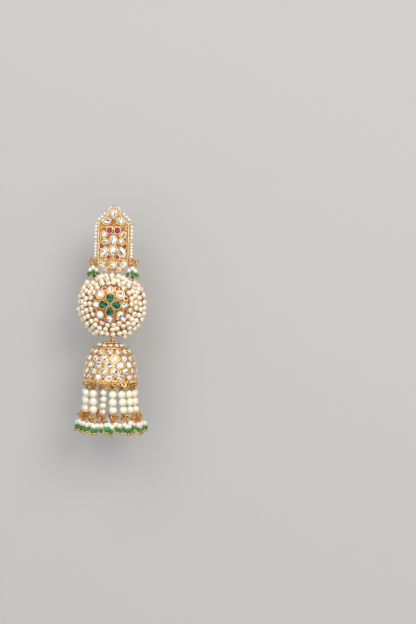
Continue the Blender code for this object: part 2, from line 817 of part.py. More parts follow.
def bell_profile():
    """Half section of the hollow bell above its rim, outside first, top down."""
    outer = bell_curve(BELL_RADIUS, BELL_HEIGHT, (12, 28, 43, 58, 73, 90))
    inner_radius = BELL_RADIUS - BELL_WALL
    inner = bell_curve(inner_radius, BELL_HEIGHT - BELL_WALL, (90, 60, 30))
    return (
        [(0.0, BELL_HEIGHT)]
        + outer
        + [(BELL_RADIUS, -BELL_RIM_HEIGHT), (inner_radius, -BELL_RIM_HEIGHT)]
        + inner
        + [(0.0, BELL_HEIGHT - BELL_WALL)]
    )


def around_bell(angle_deg):
    """Turn about the hanging line, from the front towards +X."""
    middle = Matrix.Translation((0.0, HANG_Y, 0.0))
    return middle @ Matrix.Rotation(math.radians(angle_deg), 4, "Z")


def rim_loop_points():
    """Half of a ten-sided link below its middle, with legs that close up into the rim."""
    radius = RIM_LOOP_DIAMETER / 2
    rise = BELL_FOOT_Z - RIM_LOOP_Z + RIM_LOOP_WIRE
    neck = RIM_LOOP_WIRE / 2
    points = [(0.0, -neck, rise)]
    for step in range(LINK_SIDES // 2 + 1):
        angle = math.pi + step * 2 * math.pi / LINK_SIDES
        points.append((0.0, radius * math.cos(angle), radius * math.sin(angle)))
    points.append((0.0, neck, rise))
    return points


def make_bell(pivot):
    """The bell with its eye on top and a loop under its rim for each strand."""
    mesh = turned_mesh("bell_dome", bell_profile(), BELL_STEPS)
    bell = add_part("bell_dome", mesh, GOLD, pivot, (0.0, HANG_Y, BELL_RIM_Z))

    eye = ring_mesh("bell_eye", EYE_DIAMETER, EYE_WIRE)
    eye.transform(Matrix.Translation((0.0, HANG_Y, BELL_EYE_Z)) @ ring_facing("Y"))
    combine(bell, add_shape("bell_eye", eye), "UNION")

    loop = wire_mesh("rim_loop", rim_loop_points(), RIM_LOOP_WIRE, 6)
    loops = []
    for angle, flare, lean, thin in STRANDS:
        spot = Matrix.Translation((0.0, -STRAND_CIRCLE, RIM_LOOP_Z))
        loops.append((loop, around_bell(angle) @ spot))
    combine(bell, add_shape("rim_loops", joined_mesh("rim_loops", loops)), "UNION")


def strand_profile(pearl, bundle):
    """Half section of a strand below its ring: three pearls, then the bundle."""
    radius = pearl / 2
    neck = PEARL_NECK_RADIUS
    ring_foot = -(STRAND_RING_DIAMETER - RIM_LOOP_WIRE / 2 - STRAND_RING_WIRE / 2 - GAP)
    first_top = ring_foot - STRAND_RING_WIRE / 2
    pitch = STRAND_PEARL
    points = [(0.0, ring_foot), (neck, ring_foot)]
    for index in range(PEARLS_PER_STRAND):
        middle = first_top - STRAND_PEARL / 2 - index * pitch
        points.append((0.92 * radius, middle + 0.45 * radius))
        points.append((0.92 * radius, middle - 0.45 * radius))
        points.append((neck, middle - STRAND_PEARL / 2))
    start = first_top - PEARLS_PER_STRAND * pitch
    points += [
        (0.62 * bundle, start - 0.17 * BUNDLE_LENGTH),
        (bundle, start - 0.46 * BUNDLE_LENGTH),
        (0.80 * bundle, start - BUNDLE_LENGTH),
        (0.0, start - BUNDLE_LENGTH),
    ]
    return points


def strand_mesh(name, pearl, bundle):
    """A strand about its resting point on the rim loop's wire, facing -Y."""
    ring = ring_mesh("strand_ring", STRAND_RING_DIAMETER, STRAND_RING_WIRE)
    seat = RIM_LOOP_WIRE / 2 + STRAND_RING_WIRE / 2 + GAP
    ring.transform(Matrix.Translation((0.0, 0.0, seat - STRAND_RING_DIAMETER / 2)) @ ring_facing("Y"))
    holder = add_shape(name + "_ring", ring)
    string = add_shape(name + "_pearls", turned_mesh(name, strand_profile(pearl, bundle), PEARL_SIDES))
    combine(holder, string, "UNION")
    mesh = evaluated_mesh(holder)
    mesh.name = name
    bpy.data.objects.remove(holder)
    bpy.data.objects.remove(string)
    return smooth(mesh)


def make_strands(pivot):
    """One object for each strand. All but the thin one share one mesh."""
    full = strand_mesh("full_strand", STRAND_PEARL, BUNDLE_RADIUS)
    slim = strand_mesh("thin_strand", THIN_STRAND_PEARL, THIN_BUNDLE_RADIUS)
    seat_z = RIM_LOOP_Z - RIM_LOOP_DIAMETER / 2
    looks = {False: make_material("strand_pearl", PEARL), True: make_material("thin_pearl", PEARL)}
    full.materials.append(looks[False])
    slim.materials.append(looks[True])
    for number, (angle, flare, lean, thin) in enumerate(STRANDS, start=1):
        part = bpy.data.objects.new(f"pearl_strand_{number:02d}", slim if thin else full)
        parts.objects.link(part)
        around = around_bell(angle)
        spot = around @ Vector((0.0, -STRAND_CIRCLE, seat_z))
        outwards = Matrix.Rotation(math.radians(-flare), 3, "X")
        sideways = Matrix.Rotation(math.radians(-lean), 3, "Y")
        turn = around.to_3x3() @ outwards @ sideways
        place(part, pivot, spot, turn.to_euler())


remove_everything()
parts = new_collection("drop_earring")
shapes = new_collection("joining_shapes")

medallion_pivot = add_pivot("medallion_pivot", (0.0, HANG_Y, TOP_BAIL_Z))
ring_pivot = add_pivot("ring_pivot", (0.0, HANG_Y, EYE_Z - EYE_DIAMETER / 2))
bell_pivot = add_pivot("bell_pivot", (0.0, HANG_Y, CONNECTOR_FOOT_Z))

make_ear_post()
make_top_plate()
make_edging()
make_side_drop("side_drop_left", -1)
make_side_drop("side_drop_right", 1)
make_jump_rings(medallion_pivot)
make_pearl_cluster(medallion_pivot)
make_flower(medallion_pivot)
make_connector_ring(ring_pivot)
make_bell(bell_pivot)
make_strands(bell_pivot)
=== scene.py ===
# %% [markdown]
# # A drop earring in three tiers
#
# The earring has a house-shaped plate that pins on the ear, a round medallion
# covered in pearls, and a hollow bell with a fringe of pearl strands. The solids
# come packed from the CAD step. This lesson dresses them: it works out each piece
# as a surface with numpy and gives it the finish of the real material.
#
# Lengths here are in millimetres, +Z is up and the front looks along -Y. One
# function, put, turns them to metres when it makes a piece.

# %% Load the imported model
import json

import bpy
import numpy as np
from mathutils import Matrix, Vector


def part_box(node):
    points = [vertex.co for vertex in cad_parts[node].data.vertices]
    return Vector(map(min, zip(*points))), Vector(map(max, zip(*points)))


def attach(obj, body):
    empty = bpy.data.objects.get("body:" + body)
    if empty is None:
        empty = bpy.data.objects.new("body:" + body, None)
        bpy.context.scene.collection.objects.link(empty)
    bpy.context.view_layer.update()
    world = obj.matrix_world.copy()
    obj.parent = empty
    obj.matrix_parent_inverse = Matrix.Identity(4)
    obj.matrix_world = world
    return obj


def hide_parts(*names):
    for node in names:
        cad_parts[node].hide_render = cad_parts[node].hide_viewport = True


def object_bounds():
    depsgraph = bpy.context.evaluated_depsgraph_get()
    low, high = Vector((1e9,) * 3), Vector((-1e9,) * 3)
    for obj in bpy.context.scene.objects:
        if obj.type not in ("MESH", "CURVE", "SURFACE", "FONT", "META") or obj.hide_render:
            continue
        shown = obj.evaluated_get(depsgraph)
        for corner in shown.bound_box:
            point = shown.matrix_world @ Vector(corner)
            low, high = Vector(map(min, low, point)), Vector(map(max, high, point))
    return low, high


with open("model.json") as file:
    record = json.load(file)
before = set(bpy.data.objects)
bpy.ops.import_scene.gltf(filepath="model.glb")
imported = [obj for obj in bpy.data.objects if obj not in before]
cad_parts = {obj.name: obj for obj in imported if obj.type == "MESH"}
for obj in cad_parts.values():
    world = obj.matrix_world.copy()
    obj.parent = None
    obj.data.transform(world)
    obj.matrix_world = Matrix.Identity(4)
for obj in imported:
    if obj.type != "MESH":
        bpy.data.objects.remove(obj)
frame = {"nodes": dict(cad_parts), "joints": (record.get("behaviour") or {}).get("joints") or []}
cad_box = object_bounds()
MM = 0.001
pivots = {joint["name"]: np.array(joint["pos_m"]) / MM for joint in frame["joints"]}
rounded = {name: spot.round(2).tolist() for name, spot in pivots.items()}
print("solids:", len(frame["nodes"]), "pivots:", rounded)

# %% [markdown]
# ## Shapes as arrays
#
# A shape here is a pair: an array of points and an array of faces, four corners
# each. A triangle has -1 as its fourth corner. Most pieces of jewellery are a
# round profile turned about a line, or a wire carried along a path, so a few
# functions are enough. They work on whole arrays, which is fast and short.


# %% Faces, poles and joins
def grid_faces(rows, columns, close_rows=False):
    """Faces between neighbours of a grid of points: corner (i, j) is number i * columns + j.

    The columns close into a ring. The rows do so too if asked.
    """
    row = np.arange(rows if close_rows else rows - 1)[:, None]
    column = np.arange(columns)[None, :]
    below = (row + 1) % rows * columns
    right = (column + 1) % columns
    here = row * columns
    corners = np.broadcast_arrays(here + column, below + column, below + right, here + right)
    return np.stack(corners, -1).reshape(-1, 4)


def with_poles(first, grid, last):
    """A closed skin: rings of points, with one point before them and one after, joined by fans."""
    rows, columns = grid.shape[:2]
    points = np.vstack([grid.reshape(-1, 3), first, last])
    start = np.arange(columns)
    after = (start + 1) % columns
    none = np.full(columns, -1)
    end = (rows - 1) * columns
    top = np.stack([none + 1 + rows * columns, start, after, none], -1)
    foot = np.stack([none + 2 + rows * columns, end + after, end + start, none], -1)
    return points, np.vstack([grid_faces(rows, columns), top, foot])


def join(*shapes):
    """Several shapes as one: the points are stacked and each face's numbers shifted."""
    starts = np.cumsum([0] + [len(points) for points, faces in shapes[:-1]])
    faces = [np.where(faces < 0, -1, faces + start) for (points, faces), start in zip(shapes, starts)]
    return np.vstack([points for points, faces in shapes]), np.vstack(faces)


def unit(vectors):
    """Vectors divided by their own lengths."""
    return vectors / np.linalg.norm(vectors, axis=-1, keepdims=True)


# %% [markdown]
# A turned profile makes balls, beads, caps and the bell. A tube makes rims,
# wires and rings. The tube needs a direction that is never along its path, such
# as the normal of the face that it lies on, so that its ring of points never
# twists.


# %% Turned profiles, tubes, rings and slabs
def turned(profile, sides):
    """A profile of (r, z) from the top down, turned about z: (r cos a, r sin a, z).

    Its first and last points lie on the axis and become the poles.
    """
    profile = np.asarray(profile, float)
    angle = np.arange(sides) * 2 * np.pi / sides
    radius = profile[1:-1, 0, None]
    height = np.broadcast_to(profile[1:-1, 1, None], (len(radius), sides))
    grid = np.stack([radius * np.cos(angle), radius * np.sin(angle), height], -1)
    return with_poles([0, 0, profile[0, 1]], grid, [0, 0, profile[-1, 1]])


def ball(radius, sides, rings):
    """A round bead: (R sin t, R cos t) for t from 0 to pi, turned about z."""
    turn = np.linspace(0, np.pi, rings + 1)
    return turned(np.stack([radius * np.sin(turn), radius * np.cos(turn)], -1), sides)


def tube(path, radius, facing, sides=6, closed=False):
    """A round wire along a path: p + R (cos a s - sin a t x s), with s square to t and to facing.

    t is the path's own direction. An open wire ends in a fan at both ends.
    """
    path = np.asarray(path, float)
    if closed:
        along = unit(np.roll(path, -1, 0) - np.roll(path, 1, 0))
    else:
        along = unit(np.gradient(path, axis=0))
    side = unit(np.cross(along, np.broadcast_to(facing, path.shape)))
    other = np.cross(along, side)
    angle = np.arange(sides)[:, None] * 2 * np.pi / sides
    around = np.cos(angle) * side[:, None] - np.sin(angle) * other[:, None]
    grid = path[:, None] + radius * around
    if closed:
        return grid.reshape(-1, 3), grid_faces(len(path), sides, close_rows=True)
    return with_poles(path[0], grid, path[-1])


def ring(diameter, wire, sides, wire_sides):
    """A link about z: the circle (D/2 cos a, D/2 sin a, 0) as a closed tube."""
    angle = np.arange(sides) * 2 * np.pi / sides
    circle = np.stack([np.cos(angle), np.sin(angle), 0 * angle], -1) * diameter / 2
    return tube(circle, wire / 2, [0, 0, 1], wire_sides, closed=True)


def slab(outline, front, back, bevel=0.2):
    """An upright plate: its outline of (x, z) at the front, at the end of the bevel and at the back."""
    outline = np.asarray(outline, float)
    middle = outline.mean(0)
    rows = []
    for depth, inset in ((front, bevel), (front + bevel, 0.0), (back, 0.0)):
        reach = np.linalg.norm(outline - middle, axis=1, keepdims=True)
        flat = middle + (outline - middle) * (1 - inset / reach)
        rows.append(np.stack([flat[:, 0], 0 * flat[:, 0] + depth, flat[:, 1]], -1))
    return with_poles([middle[0], front, middle[1]], np.array(rows), [middle[0], back, middle[1]])


# %% [markdown]
# Beads and stones repeat by the dozen. Each copy has a seat: a small frame whose
# z looks out of the surface and whose x points along it. Multiplying one shape by
# all the seats at once places every copy.


# %% Seats and copies
def seats(places, outward, along):
    """Frames of columns x, y, z and place: z is outward, x is along made square to z, y = z x x."""
    given = (np.atleast_2d(np.asarray(value, float)) for value in (places, outward, along))
    places, outward, along = np.broadcast_arrays(*given)
    z = unit(outward)
    x = unit(along - (along * z).sum(-1, keepdims=True) * z)
    return np.stack([x, np.cross(z, x), z, places], -1)


def front_seats(places):
    """Seats that look out of the front, along -y, with x to the right."""
    return seats(places, [0, -1, 0], [1, 0, 0])


def upright_seats(places):
    """Seats that look up, with x to the right."""
    return seats(places, [0, 0, 1], [1, 0, 0])


def copies(shape, frames, sizes=1.0):
    """The shape once in each frame: R (size p) + place for every point p."""
    points, faces = shape
    scaled = np.broadcast_to(sizes, (len(frames),))[:, None, None] * points
    placed = np.einsum("kij,knj->kni", frames[:, :, :3], scaled) + frames[:, None, :, 3]
    shift = np.arange(len(frames))[:, None, None] * len(points)
    return placed.reshape(-1, 3), np.where(faces[None] < 0, -1, faces[None] + shift).reshape(-1, 4)


# %% [markdown]
# One seeded draw serves every small accident of hand work and the painted reflections, so each
# run gives the same earring. A cut stone has five rows of facets, which get their
# painted reflections here, and put makes a piece out of a shape.


# %% Facet tones and pieces
draw = np.random.default_rng(11)
CUT_SIDES = 12


def painted_facet_reflections(face_count):
    """One painted reflection from 0 to 1 for each facet: light round the table, and a painted dark
    reflection on one side of it.

    A cut stone has 3 rows of crown and girdle facets, then its table and its foot.
    The dark side is where cos(sector - phase) is above a limit drawn for each stone.
    """
    stones = face_count // (5 * CUT_SIDES)
    tones = 0.30 + 0.70 * draw.random((stones, 5, CUT_SIDES))
    sector = np.arange(CUT_SIDES) * 2 * np.pi / CUT_SIDES
    swing = np.cos(sector - 2 * np.pi * draw.random((stones, 1)))
    limit = draw.uniform(-0.6, 1.2, (stones, 1))
    dark = 0.34 * draw.random((stones, 1))
    tones[:, 1] = 0.15 + 0.85 * draw.random((stones, CUT_SIDES))
    tones[:, 3] = np.where(swing > limit, dark, 0.55 + 0.45 * draw.random((stones, CUT_SIDES)))
    return tones.ravel()


def put(name, shape, finish, body, smooth_deg=40.0):
    """A shape as a mesh object that rides on a body, in metres and with its finish.

    With no smoothing the shape is made of cut stones, and each facet keeps its painted reflection.
    """
    points, faces = shape
    sizes = (faces >= 0).sum(1)
    corners = faces.ravel()
    corners = corners[corners >= 0]
    mesh = bpy.data.meshes.new(name)
    mesh.vertices.add(len(points))
    mesh.vertices.foreach_set("co", (points * MM).ravel())
    mesh.loops.add(len(corners))
    mesh.loops.foreach_set("vertex_index", corners.astype(np.int32))
    mesh.polygons.add(len(faces))
    mesh.polygons.foreach_set("loop_start", np.concatenate([[0], np.cumsum(sizes)[:-1]]).astype(np.int32))
    mesh.update(calc_edges=True)
    if smooth_deg:
        mesh.shade_smooth()
        mesh.set_sharp_from_angle(angle=np.radians(smooth_deg))
    else:
        # Cut stones: each facet gets a number for its painted reflection, read by the stone's finish.
        glint = mesh.attributes.new("glint", "FLOAT", "FACE")
        glint.data.foreach_set("value", painted_facet_reflections(len(faces)).astype(np.float32))
        mesh.shade_flat()
    mesh.materials.append(finish)
    piece = bpy.data.objects.new(name, mesh)
    bpy.context.scene.collection.objects.link(piece)
    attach(piece, body)
    low, high = points.min(0).round(2), points.max(0).round(2)
    print(f"{name}: {len(faces)} faces, {low.tolist()} to {high.tolist()}")
    return piece


# %% [markdown]
# ## Finishes
#
# The metal is brass with a bright gold plate over a cast, slightly uneven ground.
# The pearls are shell pearls, whose coating gives a soft deep gloss. The stones
# are foiled glass: the foil behind the cut glass throws light back, so each facet
# looks white or dark. Real foil lies behind the glass, and its reflection is
# painted here into the colour, one brightness for each facet, because that stays
# clean in a small render and in the exported model.


# %% Colours and nodes
def paint(hex_code):
    """An sRGB hex colour as linear light: c / 12.92 below 0.04045, else ((c + 0.055) / 1.055) ** 2.4."""
    channel = np.array([int(hex_code[i:i + 2], 16) for i in (1, 3, 5)]) / 255
    light = np.where(channel <= 0.04045, channel / 12.92, ((channel + 0.055) / 1.055) ** 2.4)
    return (*light.tolist(), 1.0)


def add_node(tree, kind, inputs, **settings):
    """One shader node. A number goes on its socket, and a socket is linked to it."""
    node = tree.nodes.new("ShaderNode" + kind)
    for name, value in settings.items():
        setattr(node, name, value)
    for name, value in inputs.items():
        if isinstance(value, bpy.types.NodeSocket):
            tree.links.new(value, node.inputs[name])
        else:
            node.inputs[name].default_value = value
    return node


def new_finish(name, slot, **constants):
    """A material with its Principled shader, its constants on the shader's own sockets."""
    finish = bpy.data.materials.new(name)
    finish.use_nodes = True
    shader = finish.node_tree.nodes["Principled BSDF"]
    for socket, value in constants.items():
        shader.inputs[socket.replace("_", " ")].default_value = value
    return finish, finish.node_tree, shader


def blotches(tree, size_mm):
    """A soft noise whose patches are about size_mm wide on the piece."""
    place = add_node(tree, "TexCoord", {}).outputs["Object"]
    return add_node(tree, "TexNoise", {"Vector": place, "Scale": 1 / (size_mm * MM), "Detail": 2.0})


def ramp(tree, source, stops):
    """A colour ramp from (position, hex) stops."""
    node = add_node(tree, "ValToRGB", {"Fac": source})
    for position, hex_code in stops[1:-1]:
        node.color_ramp.elements.new(position)
    for element, (position, hex_code) in zip(node.color_ramp.elements, stops):
        element.position = position
        element.color = paint(hex_code)
    return node.outputs["Color"]


# %% [markdown]
# Gold plate on cast brass: the colour is a warm yellow, and it goes towards
# orange where the plate is thin. Casting and hammering leave shallow dents, which
# break the reflections into small sparks. They are drawn 0.35 to 0.5 mm wide, a
# little wider than real ones, so that they show. Raised rims are polished, the
# ground between them is duller and painted darker as shade in its recesses, and
# the lattice of the bell has a satin face. The bell's sheet between its stones and
# the medallion's core behind its pearls are painted darker still: painted shade in
# the gaps.


# %% Gold plate
def gold_plate(name, stops, roughness, dent_mm, dent_depth):
    """Plated brass: blotchy colour, with dents of one width and depth in millimetres."""
    finish, tree, shader = new_finish(name, "gold", Metallic=1.0, Roughness=roughness)
    colour = ramp(tree, blotches(tree, 1.6).outputs["Fac"], stops)
    tree.links.new(colour, shader.inputs["Base Color"])
    dents = blotches(tree, dent_mm).outputs["Fac"]
    bump = add_node(tree, "Bump", {"Height": dents, "Strength": 0.5, "Distance": dent_depth * MM})
    tree.links.new(bump.outputs["Normal"], shader.inputs["Normal"])
    return finish


CAST_STOPS = ((0.3, "#F0BF76"), (0.5, "#FAD798"), (0.7, "#FFEDC6"))
WIRE_STOPS = ((0.3, "#D4943F"), (0.6, "#EFC27A"))
# GROUND, BELL and CORE stops are darker gold: painted shade in the recesses between rims, between the bell's
# stones and behind the pearls.
GROUND_SHADE_STOPS = ((0.3, "#A2662C"), (0.5, "#B87C3A"), (0.7, "#D09A54"))
BELL_SHADE_STOPS = ((0.3, "#A66C2E"), (0.7, "#C88F48"))
CORE_SHADE_STOPS = ((0.3, "#9A6228"), (0.7, "#BE8038"))
LATTICE_STOPS = ((0.3, "#EFBF75"), (0.7, "#FFE8B8"))
cast_gold = gold_plate("gold_plated_brass_cast", CAST_STOPS, 0.25, 0.5, 0.16)
wire_gold = gold_plate("gold_plated_brass_wire", WIRE_STOPS, 0.20, 0.35, 0.05)
ground_gold_painted_shade = gold_plate("gold_plated_brass_ground_painted_shade", GROUND_SHADE_STOPS, 0.40, 0.5, 0.24)
bell_gold_painted_shade = gold_plate("gold_plated_brass_sheet_painted_shade", BELL_SHADE_STOPS, 0.75, 0.5, 0.20)
core_gold_painted_shade = gold_plate("gold_plated_brass_painted_shade", CORE_SHADE_STOPS, 0.60, 0.5, 0.20)
lattice_gold = gold_plate("gold_plated_brass_satin", LATTICE_STOPS, 0.38, 0.5, 0.12)


# %% [markdown]
# Shell pearls: nacre has an index near 1.53. A clear coat over a slightly rough
# body gives the sharp highlight on a soft one. The medallion's pearls and the
# small ones are a creamy white, and the strands' pearls are a warmer ivory.


# %% Pearl
def pearl_coat(name, slot, stops, mirror):
    """Nacre: soft colour patches under a clear coat, partly a mirror because its layers reflect."""
    finish, tree, shader = new_finish(
        name, slot, Metallic=mirror, Roughness=0.20, IOR=1.53,
        Coat_Weight=1.0, Coat_Roughness=0.06, Coat_IOR=1.68,
    )
    tree.links.new(ramp(tree, blotches(tree, 3.0).outputs["Fac"], stops), shader.inputs["Base Color"])
    return finish


WHITE_STOPS = ((0.3, "#F7E9D0"), (0.55, "#FDF7E9"), (0.75, "#F8EADD"))
IVORY_STOPS = ((0.3, "#FDF4D4"), (0.6, "#FFFCE9"))
white_pearl = pearl_coat("shell_pearl_white", "seed_pearl", WHITE_STOPS, 0.25)
cluster_pearl = pearl_coat("shell_pearl_cluster", "cluster_pearl", WHITE_STOPS, 0.25)
ivory_pearl = pearl_coat("shell_pearl_ivory", "strand_pearl", IVORY_STOPS, 0.08)


# %% [markdown]
# Cut stones: each facet's colour carries a painted reflection from the number that its
# face carries, dark where the foil would mirror the dark room and white where it would mirror the lamp.
# The glass itself is smooth and has an index of 1.52. The beads are pressed glass
# without foil, green all through.


# %% Foiled glass
def foiled_glass(name, slot, stops):
    """Cut glass over foil: one painted reflection for each facet, in its colour, under a polished face."""
    finish, tree, shader = new_finish(name, slot, Roughness=0.06, IOR=1.52)
    glint = add_node(tree, "Attribute", {}, attribute_name="glint").outputs["Fac"]
    colour = ramp(tree, glint, stops)
    tree.links.new(colour, shader.inputs["Base Color"])
    return finish


# The ramps turn each facet's painted glint into colour: the stone's own colour, with painted reflections
# from dark to white.
CLEAR_STOPS = ((0.0, "#4A484C"), (0.24, "#8F8C8F"), (0.44, "#D2CECE"), (0.7, "#FFFDFB"))
GREEN_STOPS = ((0.0, "#01140D"), (0.35, "#022A1B"), (0.7, "#045438"), (1.0, "#22B47A"))
RED_STOPS = ((0.0, "#3C061D"), (0.35, "#770D35"), (0.75, "#A31950"), (1.0, "#DB5F9A"))
clear_stone = foiled_glass("foiled_glass_clear", "clear_stone", CLEAR_STOPS)
green_stone = foiled_glass("foiled_glass_green", "green_stone", GREEN_STOPS)
red_stone = foiled_glass("foiled_glass_red", "red_stone", RED_STOPS)

green_bead, bead_tree, bead_shader = new_finish(
    "pressed_glass_green", "green_stone", Roughness=0.16, IOR=1.52, Coat_Weight=0.4, Coat_Roughness=0.05
)
BEAD_STOPS = ((0.3, "#086618"), (0.6, "#1B982E"))
bead_colour = ramp(bead_tree, blotches(bead_tree, 1.2).outputs["Fac"], BEAD_STOPS)
bead_tree.links.new(bead_colour, bead_shader.inputs["Base Color"])

# %% [markdown]
# ## The top plate
#
# The plate is a cast gold house. Stones sit in it in thick rims, and a narrow
# ridge runs round its edge. The outline is one list of corners, made into a
# bevelled slab.

# %% Plate and ridges
HALF_WIDTH = 6.8
APEX_Z = 12.3
SHOULDER_Z = 5.4
FOOT_Z = -10.4
BAND_TOP_Z = -10.3
BAND_FOOT_Z = -15.4
PLATE_FRONT = -1.8
FRAME_HEIGHT = 0.35
RIDGE_DEPTH = PLATE_FRONT + 0.25


def mirrored(corners):
    """A list of corners on the other side of x = 0, in the opposite order."""
    return [(-x, z) for x, z in reversed(corners)]


def wire_line(points, wire, depth):
    """A wire over corner points of (x, z), its middle at one depth."""
    path = np.array([(x, depth, z) for x, z in points])
    share = np.linspace(0, len(path) - 1, 4 * (len(path) - 1) + 1)
    column = [np.interp(share, np.arange(len(path)), path[:, axis]) for axis in range(3)]
    return tube(np.stack(column, -1), wire / 2, [0, -1, 0])


house = [
    (0, APEX_Z), (-HALF_WIDTH, SHOULDER_Z), (-HALF_WIDTH, FOOT_Z),
    (HALF_WIDTH, FOOT_Z), (HALF_WIDTH, SHOULDER_Z),
]
cheek = [
    (3.4, BAND_TOP_Z), (2.0, -13.0), (2.0, BAND_FOOT_Z),
    (3.9, BAND_FOOT_Z), (HALF_WIDTH, -12.0), (HALF_WIDTH, BAND_TOP_Z),
]
middle = [
    (-1.5, BAND_TOP_Z), (-1.9, -12.7), (-2.1, BAND_FOOT_Z),
    (2.1, BAND_FOOT_Z), (1.9, -12.7), (1.5, BAND_TOP_Z),
]
outlines = (house, cheek, mirrored(cheek), middle)
plate = join(*(slab(corners, PLATE_FRONT + FRAME_HEIGHT, 0.0) for corners in outlines))
# The plate's ground is painted darker: painted shade in the recesses between the rims.
plate_piece = put("top_plate_sheet", plate, ground_gold_painted_shade, "top", 30.0)
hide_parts("top_plate")

ridges = []
for inset, wire in ((0.35, 0.75), (1.15, 0.40)):
    slope = inset * 1.42
    half = HALF_WIDTH - inset
    loop = [(0, APEX_Z - slope), (-half, SHOULDER_Z - 0.45 * inset), (-half, FOOT_Z + inset)]
    loop = loop + mirrored(loop)
    ridges.append(wire_line(loop, wire, RIDGE_DEPTH))
for z, wire in ((4.2, 0.55), (3.6, 0.35)):
    ridges.append(wire_line([(-5.8, z), (5.8, z)], wire, RIDGE_DEPTH))
edge_x, edge_foot = HALF_WIDTH - 0.3, BAND_FOOT_Z + 0.3
band_edge = [(edge_x, -10.7), (edge_x, -11.9), (3.7, edge_foot), (0, edge_foot)]
ridges.append(wire_line(band_edge + mirrored(band_edge[:-1]), 0.6, RIDGE_DEPTH))
window = [(1.6, -10.8), (3.3, -10.8), (2.05, -12.7), (1.6, -10.8)]
ridges += [wire_line(corners, 0.4, PLATE_FRONT + 0.3) for corners in (window, mirrored(window))]
put("top_plate_ridges", join(*ridges), cast_gold, "top")

# %% [markdown]
# ## Stones and their rims
#
# Each stone has one outline formula, used twice: for the cut glass and, a little
# larger, for the round rim that holds it. A table lists every stone of the plate
# by its kind, place, length, width and turn, and the paired ones are mirrored.


# %% Stone outline, cut and rim
def outline(kind, angle):
    """A stone's outline in half lengths and half widths, its point at +x.

    round: (cos a, sin a). pear: y is narrowed by sin(|a| / 2). leaf: y by
    |sin a| ** 0.3. triangle: a second turn the other way is added. diamond:
    both are raised to the power 1.35 with their signs kept.
    """
    along, across = np.cos(angle), np.sin(angle)
    if kind == "pear":
        across = across * np.sin(np.abs(angle) / 2) / 0.77
    if kind == "leaf":
        across = across * np.abs(np.sin(angle)) ** 0.3
    if kind == "triangle":
        along = (along + 0.25 * np.cos(2 * angle)) / 1.25
        across = (across - 0.25 * np.sin(2 * angle)) / 1.05
    if kind == "diamond":
        along, across = (np.sign(v) * np.abs(v) ** 1.35 for v in (along, across))
    return np.stack([along, across], -1)


def cut_stone(kind, length, width, rise, sides=CUT_SIDES):
    """Cut glass: rings at shares 1, 1, 0.8 and 0.55 of the outline, up to a flat table.

    The ring at 0.8 is turned by half a step, which makes the facets kite-shaped.
    """
    step = 2 * np.pi / sides
    angle = -np.pi + np.arange(sides) * step
    half = np.array([length, width]) / 2
    rings = []
    steps = ((1.0, -0.3, 0.0), (1.0, 0.0, 0.0), (0.8, 0.6 * rise, 0.5), (0.55, rise, 0.0))
    for share, height, shift in steps:
        flat = outline(kind, angle + shift * step) * half * share
        rings.append(np.column_stack([flat, np.full(sides, height)]))
    return with_poles([0, 0, rise], np.array(rings[::-1]), [0, 0, -0.3])


def rim(kind, length, width, wire, lift, sides=28):
    """The rim round a stone: a closed wire on its outline, about half a wire larger all round."""
    angle = -np.pi + np.arange(sides) * 2 * np.pi / sides
    flat = outline(kind, angle) * (np.array([length, width]) / 2 + wire * 0.45)
    path = np.column_stack([flat, np.full(sides, lift)])
    return tube(path, wire / 2, [0, 0, 1], closed=True)


def flat_seat(x, z, turn_deg, depth):
    """A seat on an upright face: x of the seat points at turn_deg from +X towards +Z."""
    turn = np.radians(turn_deg)
    return seats([x, depth, z], [0, -1, 0], [np.cos(turn), 0, np.sin(turn)])


# %% The stones of the plate and the band
PLATE_STONES = (
    # kind, colour, paired, x, z, length, width, turn in degrees
    ("pear", "clear", False, 0.00, 9.30, 3.7, 3.0, -90),
    ("leaf", "clear", True, 2.85, 6.40, 3.8, 2.4, 150),
    ("round", "red", True, 1.70, 2.45, 2.3, 2.2, -75),
    ("pear", "clear", True, 4.25, 0.75, 2.9, 2.5, 80),
    ("pear", "clear", False, 0.00, -1.40, 4.9, 3.5, 90),
    ("round", "clear", True, 3.45, -2.35, 2.2, 2.0, 0),
    ("triangle", "red", True, 5.10, -4.35, 2.1, 2.0, 180),
    ("pear", "clear", False, 0.00, -6.60, 4.2, 3.5, -90),
    ("leaf", "clear", True, 3.95, -6.95, 4.4, 2.8, 112),
    ("triangle", "red", True, 1.95, -9.15, 2.3, 1.9, 90),
    ("round", "clear", False, 0.00, -12.65, 2.8, 2.6, 0),
    ("leaf", "clear", True, 4.70, -12.30, 3.6, 2.2, 52),
    ("round", "clear", True, 3.00, -14.25, 1.8, 1.7, 0),
)
PLATE_RISE, PLATE_RIM, PLATE_RIM_LIFT = 0.55, 0.56, 0.2
stones = {"clear": [], "red": []}
rims = []
for kind, colour, paired, x, z, length, width, turn in PLATE_STONES:
    for side in (1, -1)[:1 + paired]:
        seat = flat_seat(side * x, z, turn if side > 0 else 180 - turn, PLATE_FRONT)
        stones[colour].append(copies(cut_stone(kind, length, width, PLATE_RISE), seat))
        rims.append(copies(rim(kind, length, width, PLATE_RIM, PLATE_RIM_LIFT), seat))
for colour, finish in (("clear", clear_stone), ("red", red_stone)):
    put(f"plate_{colour}_stones", join(*stones[colour]), finish, "top", 0)
put("plate_stone_rims", join(*rims), cast_gold, "top", 60.0)

# %% [markdown]
# Between the rims the goldsmith drops small grains of gold. A row of dots crosses
# the top of the band, and an arch of wire frames the stone in its middle. Grains
# and dots are balls sunk in the plate, and a draw varies the grains' size.

